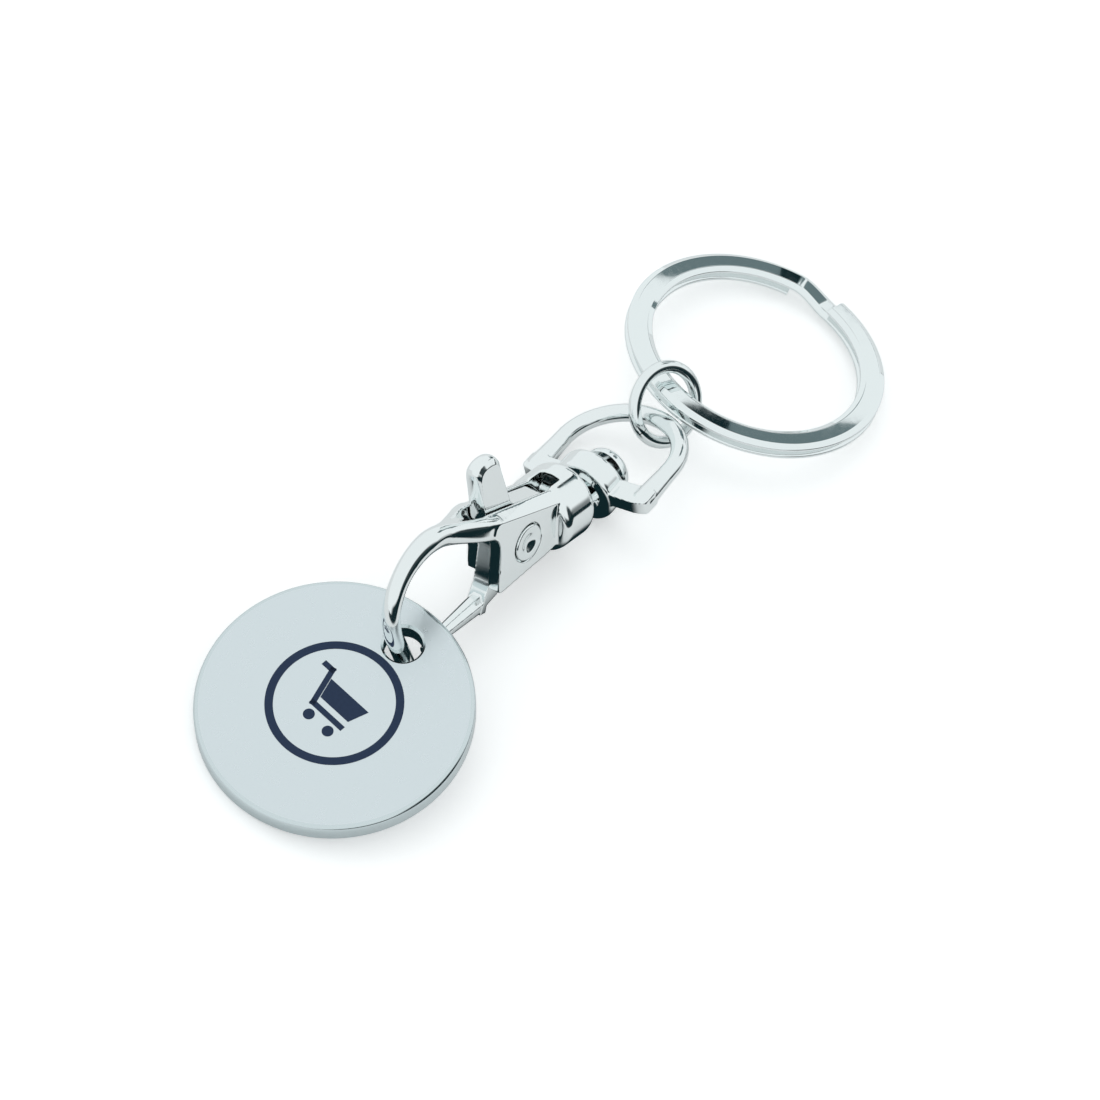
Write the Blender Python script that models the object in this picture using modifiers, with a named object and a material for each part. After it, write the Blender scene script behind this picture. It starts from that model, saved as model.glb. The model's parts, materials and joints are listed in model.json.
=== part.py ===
"""Trolley coin keyring: a token on a lever clasp, joined by a swivel loop and jump ring to a split ring.

Run with: blender --background --python part.py

Every piece is modelled in the clasp's own frame: the origin is the centre of the hook's round bend,
+X runs along the clasp towards the swivel, +Y towards the thumb tab, and +Z across the cheeks, towards
the side that carries the rivet's dimple. The clasp frame is then laid down as the keyring rests.
"""

import math

import bmesh
import bpy
from mathutils import Matrix, Vector

MM = 0.001

# Running gap between pieces that touch on the real keyring
SEAT_GAP = 0.30 * MM
OVERRUN = 1.00 * MM
MERGE = 0.01 * MM

# How the keyring lies: the clasp slopes down to its swivel and leans to one side
CLASP_SLOPE = math.radians(10.2)
CLASP_LEAN = math.radians(-18.2)

# Coin, the size of the trolley lock's own coin
COIN_DIAMETER = 23.25 * MM
COIN_THICKNESS = 1.95 * MM
COIN_EDGE_ROUND = 0.40 * MM
COIN_HOLE_DIAMETER = 3.30 * MM
COIN_HOLE_FROM_RIM = 3.80 * MM
COIN_ALONG_HOOK = 2.50 * MM
COIN_HOLE_INSET = 0.45 * MM
COIN_HOLE_SIDE_SHIFT = -0.13 * MM
COIN_PITCH = math.radians(21.8)
COIN_ROLL = math.radians(13.9)
COIN_YAW = math.radians(-10.5)

# Hook: a round bend that straightens to the nose, and widens into the clasp body
HOOK_BEND_RADIUS = 5.10 * MM
HOOK_WIRE_RADIUS = 0.80 * MM
HOOK_NOSE_RADIUS = 0.60 * MM
HOOK_NOSE_STRAIGHT = 4.20 * MM
HOOK_NOSE_CURL_RADIUS = 1.90 * MM
HOOK_NOSE_TIP_LENGTH = 0.60 * MM
HOOK_ROOT_HALF_HEIGHT = 1.10 * MM
HOOK_ROOT_HALF_WIDTH = 2.10 * MM
HOOK_ROOT_OVERLAP = 0.28 * MM
HOOK_TOP_ANGLE = math.radians(76)
HOOK_SWELL_ANGLE = math.radians(150)
HOOK_STRAIGHT_ANGLE = math.radians(204)
HOOK_NOSE_CURL = math.radians(66)
HOOK_BEND_SWELL = 1.25
HOOK_BEND_STEPS = 14
HOOK_CURL_STEPS = 4
BEAM_STATION_SHARES = (1.0, 0.7, 0.4, 0.15, 0.0)

# Clasp body: two cheeks with a slot between them, the rivet's place counted from the bend's centre
PIVOT_X = 10.50 * MM
PIVOT_Y = 0.35 * MM
BODY_LENGTH = 10.0 * MM
BODY_HEIGHT = 5.0 * MM
BODY_WIDTH = 4.60 * MM
BODY_EDGE = 0.42 * MM
BODY_FRONT_SHARE = -0.46
BODY_TAIL_SHARE = 0.66
BODY_FRONT = PIVOT_X + BODY_FRONT_SHARE * BODY_LENGTH
BODY_TAIL = PIVOT_X + BODY_TAIL_SHARE * BODY_LENGTH

# Collar at the clasp's tail, with a round chamber for the swivel post's inner head
COLLAR_RADIUS = 3.45 * MM
COLLAR_LENGTH = 4.20 * MM
COLLAR_OVERLAP = 2.60 * MM
COLLAR_START = BODY_TAIL - COLLAR_OVERLAP
COLLAR_END = COLLAR_START + COLLAR_LENGTH
COLLAR_AXIS_Y = -0.12 * MM
COLLAR_ROUND = 0.80 * MM
COLLAR_GROOVE_SETBACK = 1.30 * MM
COLLAR_GROOVE_HALF_WIDTH = 0.30 * MM
COLLAR_GROOVE_DEPTH = 0.18 * MM
CHAMBER_WALL = 2.05 * MM

# Slot between the cheeks: ahead of the body's front, and into the collar behind
SLOT_WIDTH = 2.20 * MM
SLOT_LEAD = 0.35 * MM
SLOT_INTO_COLLAR = 1.50 * MM
SLOT_TOP_INTO_COLLAR = 0.80 * MM
SLOT_FLOOR = -1.55 * MM
SLOT_FLOOR_FROM_PIVOT = 0.90 * MM
SLOT_CORNER_TOP = 2.45 * MM
SLOT_CORNER_LOW = 1.45 * MM

# Swivel post: inner head, shank and outer dome, all turned on the swivel axis
SWIVEL_AXIS_Y = -0.68 * MM
POST_SHANK_RADIUS = 0.85 * MM
POST_INNER_HEAD_RADIUS = 1.75 * MM
POST_INNER_HEAD_LENGTH = 0.70 * MM
POST_DOME_RADIUS = 2.25 * MM
POST_DOME_HEIGHT = 1.50 * MM
POST_DOME_RIM = 0.35 * MM

# Swivel loop: a D of wire with a flat shouldered crossbar and a round hub, loose on the post
HUB_STANDOFF = 3.40 * MM
HUB_X = COLLAR_END + HUB_STANDOFF
HUB_RADIUS = 3.10 * MM
HUB_LENGTH = 2.40 * MM
HUB_EDGE = 0.30 * MM
LOOP_TILT = math.radians(14.0)
LOOP_SPIN = math.radians(-6.4)
LOOP_WIRE_RADIUS = 0.80 * MM
LOOP_HALF_WIDTH = 5.70 * MM
LOOP_LEG = 4.20 * MM
LOOP_HEIGHT = 9.45 * MM
CROSSBAR_HALF_LENGTH = 6.55 * MM
CROSSBAR_WIDTH = 2.30 * MM
CROSSBAR_THICKNESS = 1.80 * MM
CROSSBAR_EDGE = 0.40 * MM

# Jump ring, hung inside the loop: where its wire passes the loop's far end, counted from that end
JUMP_RADIUS = 3.34 * MM
JUMP_WIRE_RADIUS = 0.52 * MM
JUMP_BUTT_GAP = 0.12 * MM
JUMP_BUTT_ANGLE = math.radians(200)
JUMP_HANG_ANGLE = math.radians(-160.6)
JUMP_HANG_X = -1.67 * MM
JUMP_HANG_Y = -0.56 * MM
JUMP_HANG_Z = 0.15 * MM
JUMP_FAR_ANGLE = math.radians(-1.9)
JUMP_NORMAL_TURN = math.radians(-15.2)
JUMP_NORMAL_RISE = math.radians(17.9)

# Split ring: two flat turns of bevelled wire that change layer between their ends, hung inside the
# jump ring: where its wire passes the jump ring's far side, counted from there
SPLIT_OUTER_DIAMETER = 23.80 * MM
SPLIT_WIRE_WIDTH = 2.35 * MM
SPLIT_LAYER_THICKNESS = 0.72 * MM
SPLIT_LAYER_GAP = 0.42 * MM
SPLIT_BEVEL = 0.34 * MM
SPLIT_END_GAP = 0.45 * MM
SPLIT_HANG_ANGLE = math.radians(176.2)
SPLIT_HANG_X = -2.34 * MM
SPLIT_HANG_Y = 0.0 * MM
SPLIT_HANG_Z = -0.16 * MM
SPLIT_TILT_ALONG = math.radians(0.8)
SPLIT_TILT_ACROSS = math.radians(-19.1)
SPLIT_TOP_END = math.radians(-6.0)
SPLIT_BOTTOM_END = math.radians(18.6)

# Lever: thumb tab, tail over the spring, and the gate arm
LEVER_THICKNESS = 1.60 * MM
LEVER_SPAN = 10.0 * MM
GATE_ROOT_RADIUS = 0.85 * MM
GATE_TIP_RADIUS = 0.42 * MM
GATE_ROOT_X = -3.05 * MM
GATE_ROOT_Y = -5.50 * MM
GATE_BEND_X = -8.10 * MM
GATE_BEND_Y = -5.70 * MM
GATE_BEND_RADIUS = 0.72 * MM
GATE_TIP_X = -11.20 * MM
GATE_TIP_Y = -6.05 * MM
GATE_SQUARENESS = 2.5

# Lever pivot rivet: a pin with two flat heads sunk in the cheeks
RIVET_PIN_RADIUS = 0.80 * MM
RIVET_HEAD_RADIUS = 1.60 * MM
RIVET_HEAD_HEIGHT = 0.50 * MM
RIVET_DIMPLE_RADIUS = 0.95 * MM
RIVET_DIMPLE_DEPTH = 0.22 * MM
RIVET_PROUD = 0.08 * MM

# Lever spring: a small compression coil between the slot floor and the lever's tail
SPRING_RADIUS = 0.65 * MM
SPRING_WIRE_RADIUS = 0.12 * MM
SPRING_FROM_PIVOT = 2.90 * MM
SPRING_TURNS = 3.3
SPRING_POINTS_PER_TURN = 9

# Finishes: colour, and how rough the surface is
NICKEL = (0.72, 0.75, 0.76)
TOKEN_STEEL = (0.64, 0.69, 0.72)
SPRING_STEEL = (0.45, 0.46, 0.47)
POLISHED = 0.12
TURNED = 0.16
SATIN = 0.30

# Roundness
TURNED_STEPS = 32
COIN_STEPS = 72
SECTION_POINTS = 12
DOME_STEPS = 5
LOOP_ARC_STEPS = 14
JUMP_STEPS = 40
SPLIT_STEPS = 96
SHARP_ANGLE = math.radians(35)

# Cheek outline, in shares of the body's length and height from the rivet
BODY_OUTLINE_SHARES = (
    (BODY_FRONT_SHARE, 0.84), (-0.34, 0.85), (BODY_TAIL_SHARE, 0.44), (BODY_TAIL_SHARE, -0.36),
    (0.45, -0.46), (0.26, -0.54), (0.02, -0.66), (-0.37, -0.61), (-0.37, -0.30), (-0.36, 0.36),
    (-0.40, 0.50), (BODY_FRONT_SHARE, 0.56),
)

# Lever outline, in shares of the lever's span from the rivet, from the tab's front root round to the arm
LEVER_OUTLINE_SHARES = (
    (-0.42, 0.34), (-0.49, 0.78), (-0.48, 0.87), (-0.43, 0.93), (-0.36, 0.95),
    (-0.28, 0.93), (-0.22, 0.87), (-0.19, 0.78), (-0.06, 0.36), (0.34, 0.26),
    (0.39, 0.22), (0.37, 0.14), (0.20, 0.12), (0.17, 0.03), (0.15, -0.08),
    (0.08, -0.15), (-0.02, -0.17), (-0.11, -0.20), (-0.20, -0.46), (-0.22, -0.60),
    (-0.28, -0.64), (-0.38, -0.63), (-0.42, -0.58), (-0.42, -0.46), (-0.33, -0.15),
    (-0.27, 0.12),
)
SPRING_SEAT_SHARE = 0.122


def make_metal(name, colour, roughness):
    """A bare metal finish with one colour."""
    material = bpy.data.materials.new(name)
    material.use_nodes = True
    shader = material.node_tree.nodes["Principled BSDF"]
    shader.inputs["Base Color"].default_value = (*colour, 1.0)
    shader.inputs["Metallic"].default_value = 1.0
    shader.inputs["Roughness"].default_value = roughness
    material.diffuse_color = (*colour, 1.0)
    return material


def add_mesh(name, mesh, collection):
    """An object that holds this mesh, in this collection."""
    piece = bpy.data.objects.new(name, mesh)
    collection.objects.link(piece)
    return piece


def as_cutter(piece, collection):
    """Keep a piece as a tool that only other pieces use."""
    for old in list(piece.users_collection):
        old.objects.unlink(piece)
    collection.objects.link(piece)
    piece.hide_render = True
    piece.display_type = "WIRE"
    return piece


def flattened(piece):
    """Turn a piece with its curve or its modifiers into a plain closed mesh, at the same place."""
    bpy.context.view_layer.update()
    evaluated = piece.evaluated_get(bpy.context.evaluated_depsgraph_get())
    mesh = bpy.data.meshes.new_from_object(evaluated)
    work = bmesh.new()
    work.from_mesh(mesh)
    bmesh.ops.remove_doubles(work, verts=work.verts, dist=MERGE)
    bmesh.ops.recalc_face_normals(work, faces=work.faces)
    work.to_mesh(mesh)
    work.free()
    mesh.transform(piece.matrix_world)
    name, collection = piece.name, piece.users_collection[0]
    bpy.data.objects.remove(piece)
    mesh.name = name
    return add_mesh(name, mesh, collection)


def turned(name, profile, steps, frame, collection):
    """Turn a profile of (radius, height) points, listed top to bottom, about the frame's Z axis."""
    work = bmesh.new()
    points = [work.verts.new((radius, 0.0, height)) for radius, height in profile]
    for first, second in zip(points, points[1:]):
        work.edges.new((first, second))
    mesh = bpy.data.meshes.new(name)
    work.to_mesh(mesh)
    work.free()
    piece = add_mesh(name, mesh, collection)
    screw = piece.modifiers.new("Turn", "SCREW")
    screw.steps = steps
    screw.render_steps = steps
    screw.use_merge_vertices = True
    screw.merge_threshold = MERGE
    piece.matrix_world = frame
    return flattened(piece)


def plate(name, outline, thickness, frame, collection):
    """Cut a flat plate to an outline of (x, y) points, centred on the frame's XY plane."""
    curve = bpy.data.curves.new(name, "CURVE")
    curve.dimensions = "2D"
    curve.fill_mode = "BOTH"
    curve.extrude = thickness / 2
    spline = curve.splines.new("POLY")
    spline.points.add(len(outline) - 1)
    for point, (x, y) in zip(spline.points, outline):
        point.co = (x, y, 0.0, 1.0)
    spline.use_cyclic_u = True
    piece = add_mesh(name, curve, collection)
    piece.matrix_world = frame
    return flattened(piece)


def wire(name, points, radius, collection, closed=False, bevel_resolution=2):
    """Run a round wire of one radius along a list of points."""
    curve = bpy.data.curves.new(name, "CURVE")
    curve.dimensions = "3D"
    curve.bevel_depth = radius
    curve.bevel_resolution = bevel_resolution
    curve.use_fill_caps = not closed
    spline = curve.splines.new("POLY")
    spline.points.add(len(points) - 1)
    for point, place in zip(spline.points, points):
        point.co = (*place, 1.0)
    spline.use_cyclic_u = closed
    return flattened(add_mesh(name, curve, collection))


def loft(name, rings, collection):
    """Skin a row of rings, each with the same number of points, and close both ends."""
    work = bmesh.new()
    rows = [[work.verts.new(place) for place in ring] for ring in rings]
    count = len(rows[0])
    for first, second in zip(rows, rows[1:]):
        for i in range(count):
            j = (i + 1) % count
            work.faces.new((first[i], first[j], second[j], second[i]))
    work.faces.new(list(reversed(rows[0])))
    work.faces.new(rows[-1])
    bmesh.ops.recalc_face_normals(work, faces=work.faces)
    mesh = bpy.data.meshes.new(name)
    work.to_mesh(mesh)
    work.free()
    return add_mesh(name, mesh, collection)


def box(name, low, high, frame, collection):
    """A box between two corners of the frame."""
    work = bmesh.new()
    bmesh.ops.create_cube(work, size=1.0)
    size = Vector(high) - Vector(low)
    middle = (Vector(high) + Vector(low)) / 2
    work.transform(Matrix.Translation(middle) @ Matrix.Diagonal((*size, 1.0)))
    mesh = bpy.data.meshes.new(name)
    work.to_mesh(mesh)
    work.free()
    piece = add_mesh(name, mesh, collection)
    piece.matrix_world = frame
    return piece


def rounded(piece, width, segments=1):
    """Ease a plain mesh's sharp edges."""
    bevel = piece.modifiers.new("Ease edges", "BEVEL")
    bevel.width = width
    bevel.segments = segments
    bevel.limit_method = "ANGLE"
    return flattened(piece)


def combined(piece, tools, operation):
    """Join tools to a piece, or cut them from it, and keep the result as a plain mesh."""
    for tool in tools:
        step = piece.modifiers.new(operation.title() + " " + tool.name, "BOOLEAN")
        step.operation = operation
        step.solver = "EXACT"
        step.object = tool
    piece = flattened(piece)
    if operation == "UNION":
        for tool in tools:
            bpy.data.objects.remove(tool)
    return piece


def joint_empty(name, matrix, clasp, collection):
    """An empty at a joint, placed in the clasp frame."""
    empty = bpy.data.objects.new(name, None)
    empty.empty_display_size = COIN_THICKNESS
    collection.objects.link(empty)
    empty.parent = clasp
    empty.matrix_basis = matrix
    return empty


def hang(piece, joint, material):
    """Give a piece its material and smooth shading, and make the empty at its joint its parent."""
    mesh = piece.data
    mesh.materials.clear()
    mesh.materials.append(material)
    mesh.shade_smooth()
    mesh.set_sharp_from_angle(angle=SHARP_ANGLE)
    mesh.transform(joint.matrix_basis.inverted())
    piece.parent = joint
    return piece


def polar(radius, angle):
    """A point of the clasp plane at this radius and angle from the bend's centre."""
    return Vector((radius * math.cos(angle), radius * math.sin(angle), 0.0))


def frame_from(origin, x_axis, z_axis):
    """A right-handed frame with this origin, this Z axis, and X as near as it can be to x_axis."""
    z = z_axis.normalized()
    x = (x_axis - z * x_axis.dot(z)).normalized()
    y = z.cross(x)
    rotation = Matrix((x, y, z)).transposed()
    return Matrix.Translation(origin) @ rotation.to_4x4()


def section_ring(centre, forward, half_height, half_width, squareness):
    """A rounded section square to the path: round at squareness 2, nearer a rectangle above it."""
    side = Vector((0.0, 0.0, 1.0))
    up = side.cross(forward.normalized())
    ring = []
    for i in range(SECTION_POINTS):
        angle = math.tau * (i + 0.5) / SECTION_POINTS
        c, s = math.cos(angle), math.sin(angle)
        reach = (abs(c) ** squareness + abs(s) ** squareness) ** (-1 / squareness)
        ring.append(centre + up * half_height * reach * s + side * half_width * reach * c)
    return ring


def ease(share):
    """A smooth step from 0 to 1."""
    share = min(max(share, 0.0), 1.0)
    return share * share * (3 - 2 * share)


# Frames of the joints, all in the clasp frame

def coin_matrix():
    """The coin's own frame: origin in the hole, X away from the coin's centre, Z on its printed side."""
    lying = Matrix.Rotation(math.radians(-90), 4, "X")
    turn = (
        Matrix.Rotation(COIN_PITCH, 4, "Z") @ lying
        @ Matrix.Rotation(COIN_ROLL, 4, "X") @ Matrix.Rotation(COIN_YAW, 4, "Z")
    )
    start, forward, inward = hook_straight()
    hole = start + forward * COIN_ALONG_HOOK + inward * COIN_HOLE_INSET
    hole.z = COIN_HOLE_SIDE_SHIFT
    return Matrix.Translation(hole) @ turn


def hook_straight():
    """The straight below the bend, where the coin hangs: its start, its direction, and the way inwards."""
    start = polar(HOOK_BEND_RADIUS, HOOK_STRAIGHT_ANGLE)
    forward = Vector((-math.sin(HOOK_STRAIGHT_ANGLE), math.cos(HOOK_STRAIGHT_ANGLE), 0.0))
    inward = Vector((-forward.y, forward.x, 0.0))
    return start, forward, inward


def coin_slide_matrix():
    """The coin's place on the hook's straight, with Z pointing up the wire, the way the gate pushes it."""
    start, forward, _ = hook_straight()
    return frame_from(start + forward * COIN_ALONG_HOOK, Vector((0, 0, 1)), -forward)


def swivel_matrix():
    """The swivel axis as Z, from the hub's middle outwards."""
    return frame_from(Vector((HUB_X, SWIVEL_AXIS_Y, 0.0)), Vector((0, 0, 1)), Vector((1, 0, 0)))


def loop_matrix():
    """The loop's own frame: origin at the hub, X along the crossbar, Y towards the loop's far end."""
    turn = Matrix.Rotation(LOOP_SPIN, 3, "X") @ Matrix.Rotation(LOOP_TILT, 3, "Z")
    along = turn @ Vector((1, 0, 0))
    across = turn @ Vector((0, 0, 1))
    origin = Vector((HUB_X, SWIVEL_AXIS_Y, 0.0))
    return frame_from(origin, across, across.cross(along))


def loop_far_end():
    """The middle of the loop's wire at its far end."""
    return loop_matrix() @ Vector((0.0, LOOP_HEIGHT, 0.0))


def jump_matrix():
    """The jump ring's own frame, with Z as its axis."""
    turn = Matrix.Rotation(JUMP_NORMAL_TURN, 4, "Y") @ Matrix.Rotation(-JUMP_NORMAL_RISE, 4, "X")
    frame = frame_from(Vector(), Vector((1, 0, 0)), turn @ Vector((0, 0, 1)))
    hang = loop_far_end() + Vector((JUMP_HANG_X, JUMP_HANG_Y, JUMP_HANG_Z))
    return Matrix.Translation(hang - frame @ polar(JUMP_RADIUS, JUMP_HANG_ANGLE)) @ frame


def split_matrix():
    """The split ring's own frame: Z is its axis, X points away from the clasp."""
    normal = (
        Matrix.Rotation(SPLIT_TILT_ALONG, 4, "Z") @ Matrix.Rotation(-SPLIT_TILT_ACROSS, 4, "X")
    ) @ Vector((0, 1, 0))
    frame = frame_from(Vector(), Vector((1, 0, 0)), normal)
    hang = jump_far_side() + Vector((SPLIT_HANG_X, SPLIT_HANG_Y, SPLIT_HANG_Z))
    return Matrix.Translation(hang - frame @ polar(split_radius(), SPLIT_HANG_ANGLE)) @ frame


def jump_far_side():
    """The middle of the jump ring's wire on its far side, which the split ring hangs on."""
    return jump_matrix() @ polar(JUMP_RADIUS, JUMP_FAR_ANGLE)


def split_radius():
    """The radius of the middle of the split ring's wire."""
    return (SPLIT_OUTER_DIAMETER - SPLIT_WIRE_WIDTH) / 2


def jump_hinge_matrix():
    """The loop's wire at its far end, which the jump ring swings on: Z runs along the wire."""
    along = loop_matrix().to_3x3() @ Vector((1, 0, 0))
    return frame_from(loop_far_end(), Vector((1, 0, 0)), along)


def split_hinge_matrix():
    """The jump ring's wire nearest the split ring, which the split ring swings on: Z runs along the wire."""
    turn = jump_matrix().to_3x3()
    out = turn @ polar(1, JUMP_FAR_ANGLE)
    normal = turn @ Vector((0, 0, 1))
    return frame_from(jump_far_side(), out, normal.cross(out))


# Pieces

def make_coin(parts, tools):
    """The token: a turned disc with eased edges and one hole near its rim."""
    radius = COIN_DIAMETER / 2
    half = COIN_THICKNESS / 2
    flat = radius - COIN_EDGE_ROUND
    corner = COIN_EDGE_ROUND * (1 - math.sqrt(0.5))
    profile = [
        (0.0, half), (flat, half), (radius - corner, half - corner), (radius, half - COIN_EDGE_ROUND),
        (radius, COIN_EDGE_ROUND - half), (radius - corner, corner - half), (flat, -half), (0.0, -half),
    ]
    frame = coin_matrix()
    to_centre = Matrix.Translation((COIN_HOLE_FROM_RIM - radius, 0.0, 0.0))
    coin = turned("coin", profile, COIN_STEPS, frame @ to_centre, parts)
    reach = half + OVERRUN
    bore = [(0.0, reach), (COIN_HOLE_DIAMETER / 2, reach), (COIN_HOLE_DIAMETER / 2, -reach), (0.0, -reach)]
    tool = as_cutter(turned("coin_hole_tool", bore, TURNED_STEPS, frame, parts), tools)
    return combined(coin, [tool], "DIFFERENCE")


def hook_stations():
    """Places, directions and half sizes along the hook, from inside the clasp body round to the nose."""
    swollen = HOOK_WIRE_RADIUS * HOOK_BEND_SWELL
    top = polar(HOOK_BEND_RADIUS, HOOK_TOP_ANGLE)
    forward = Vector((-math.sin(HOOK_TOP_ANGLE), math.cos(HOOK_TOP_ANGLE), 0.0))
    beam_length = (BODY_FRONT + HOOK_ROOT_OVERLAP - top.x) / math.sin(HOOK_TOP_ANGLE)
    stations = []
    for share in BEAM_STATION_SHARES:
        grow = ease(share)
        height = swollen + (HOOK_ROOT_HALF_HEIGHT - swollen) * grow
        width = swollen + (HOOK_ROOT_HALF_WIDTH - swollen) * grow
        stations.append((top - forward * beam_length * share, forward, height, width, 2 + grow))
    for i in range(1, HOOK_BEND_STEPS + 1):
        angle = HOOK_TOP_ANGLE + (HOOK_STRAIGHT_ANGLE - HOOK_TOP_ANGLE) * i / HOOK_BEND_STEPS
        swell = ease((HOOK_SWELL_ANGLE - angle) / (HOOK_SWELL_ANGLE - HOOK_TOP_ANGLE))
        size = HOOK_WIRE_RADIUS + (swollen - HOOK_WIRE_RADIUS) * swell
        forward = Vector((-math.sin(angle), math.cos(angle), 0.0))
        stations.append((polar(HOOK_BEND_RADIUS, angle), forward, size, size, 2))
    start, forward, inward = hook_straight()
    turn_at = start + forward * HOOK_NOSE_STRAIGHT
    curl_centre = turn_at + inward * HOOK_NOSE_CURL_RADIUS
    for i in range(HOOK_CURL_STEPS + 1):
        share = i / HOOK_CURL_STEPS
        turn = Matrix.Rotation(HOOK_NOSE_CURL * share, 3, "Z")
        centre = curl_centre - turn @ inward * HOOK_NOSE_CURL_RADIUS
        size = HOOK_WIRE_RADIUS + (HOOK_NOSE_RADIUS - HOOK_WIRE_RADIUS) * ease(share)
        stations.append((centre, turn @ forward, size, size, 2))
    centre, forward, height, width, _ = stations[-1]
    stations.append((centre + forward * HOOK_NOSE_TIP_LENGTH, forward, height, width, 2))
    return stations


def make_hook_body(parts, tools):
    """The cast clasp body: hook, slotted cheeks and collar in one piece."""
    rings = [section_ring(*station) for station in hook_stations()]
    hook = loft("hook_tool", rings, parts)
    outline = [
        (PIVOT_X + x * BODY_LENGTH, PIVOT_Y + y * BODY_HEIGHT) for x, y in BODY_OUTLINE_SHARES
    ]
    body = plate("hook_body", outline, BODY_WIDTH, Matrix.Identity(4), parts)
    body = rounded(body, BODY_EDGE)
    body = combined(body, [hook, make_collar(parts)], "UNION")
    cutters = [
        slot_tool(parts, tools), chamber_tool(parts, tools), post_bore_tool(parts, tools),
        rivet_seat_tool(parts, tools),
    ]
    return combined(body, cutters, "DIFFERENCE")


def make_collar(parts):
    """The barrel at the clasp's tail, with its shallow groove."""
    length = COLLAR_LENGTH
    ease_off = COLLAR_ROUND * (1 - math.sqrt(0.5))
    groove = COLLAR_GROOVE_SETBACK
    profile = [
        (0.0, length), (COLLAR_RADIUS - COLLAR_ROUND, length),
        (COLLAR_RADIUS - ease_off, length - ease_off), (COLLAR_RADIUS, length - COLLAR_ROUND),
        (COLLAR_RADIUS, groove + COLLAR_GROOVE_HALF_WIDTH),
        (COLLAR_RADIUS - COLLAR_GROOVE_DEPTH, groove),
        (COLLAR_RADIUS, groove - COLLAR_GROOVE_HALF_WIDTH),
        (COLLAR_RADIUS - ease_off, ease_off), (COLLAR_RADIUS - COLLAR_ROUND, 0.0), (0.0, 0.0),
    ]
    frame = frame_from(
        Vector((COLLAR_START, COLLAR_AXIS_Y, 0.0)), Vector((0, 0, 1)), Vector((1, 0, 0)))
    return turned("collar_tool", profile, TURNED_STEPS, frame, parts)


def slot_tool(parts, tools):
    """The slot between the cheeks, open above, in front and below the lever's arm."""
    above = PIVOT_Y + BODY_HEIGHT + OVERRUN
    below = PIVOT_Y - BODY_HEIGHT
    front = BODY_FRONT - SLOT_LEAD
    rear = COLLAR_START + SLOT_INTO_COLLAR
    top_rear = COLLAR_START + SLOT_TOP_INTO_COLLAR
    floor_front = PIVOT_X + SLOT_FLOOR_FROM_PIVOT
    outline = [
        (front, below), (floor_front, below), (floor_front, SLOT_FLOOR), (rear, SLOT_FLOOR),
        (rear, SLOT_CORNER_LOW), (top_rear, SLOT_CORNER_TOP), (top_rear, above), (front, above),
    ]
    return as_cutter(plate("slot_tool", outline, SLOT_WIDTH, Matrix.Identity(4), parts), tools)


def chamber_bounds():
    """The chamber's radius and its two ends along the clasp, round the post's inner head."""
    radius = POST_INNER_HEAD_RADIUS + SEAT_GAP
    rear = COLLAR_END - CHAMBER_WALL
    front = rear - POST_INNER_HEAD_LENGTH - 2 * SEAT_GAP
    return radius, front, rear


def chamber_tool(parts, tools):
    """The round chamber behind the slot."""
    radius, front, rear = chamber_bounds()
    length = rear - front
    profile = [(0.0, length), (radius, length), (radius, 0.0), (0.0, 0.0)]
    frame = frame_from(Vector((front, SWIVEL_AXIS_Y, 0.0)), Vector((0, 0, 1)), Vector((1, 0, 0)))
    return as_cutter(turned("chamber_tool", profile, TURNED_STEPS, frame, parts), tools)


def post_bore_tool(parts, tools):
    """The bore through the collar's end wall."""
    radius = POST_SHANK_RADIUS + SEAT_GAP
    rear = chamber_bounds()[2] - OVERRUN / 2
    length = COLLAR_END + OVERRUN - rear
    profile = [(0.0, length), (radius, length), (radius, 0.0), (0.0, 0.0)]
    frame = frame_from(Vector((rear, SWIVEL_AXIS_Y, 0.0)), Vector((0, 0, 1)), Vector((1, 0, 0)))
    return as_cutter(turned("post_bore_tool", profile, TURNED_STEPS, frame, parts), tools)


def rivet_seat_tool(parts, tools):
    """The rivet's bore with a round seat for a head in each cheek."""
    pin = RIVET_PIN_RADIUS + SEAT_GAP
    head = RIVET_HEAD_RADIUS + SEAT_GAP
    outer = BODY_WIDTH / 2 + OVERRUN
    shoulder = BODY_WIDTH / 2 + RIVET_PROUD - RIVET_HEAD_HEIGHT - SEAT_GAP
    profile = [
        (0.0, outer), (head, outer), (head, shoulder), (pin, shoulder),
        (pin, -shoulder), (head, -shoulder), (head, -outer), (0.0, -outer),
    ]
    frame = Matrix.Translation((PIVOT_X, PIVOT_Y, 0.0))
    return as_cutter(turned("rivet_seat_tool", profile, TURNED_STEPS, frame, parts), tools)


def make_rivet(parts):
    """The lever's pivot: a pin with two heads, the near one dimpled where it was spun over."""
    top = BODY_WIDTH / 2 + RIVET_PROUD
    under = top - RIVET_HEAD_HEIGHT
    profile = [
        (0.0, top - RIVET_DIMPLE_DEPTH), (RIVET_DIMPLE_RADIUS, top), (RIVET_HEAD_RADIUS, top),
        (RIVET_HEAD_RADIUS, under), (RIVET_PIN_RADIUS, under), (RIVET_PIN_RADIUS, -under),
        (RIVET_HEAD_RADIUS, -under), (RIVET_HEAD_RADIUS, -top), (0.0, -top),
    ]
    frame = Matrix.Translation((PIVOT_X, PIVOT_Y, 0.0))
    return turned("lever_pivot_rivet", profile, TURNED_STEPS, frame, parts)


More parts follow.
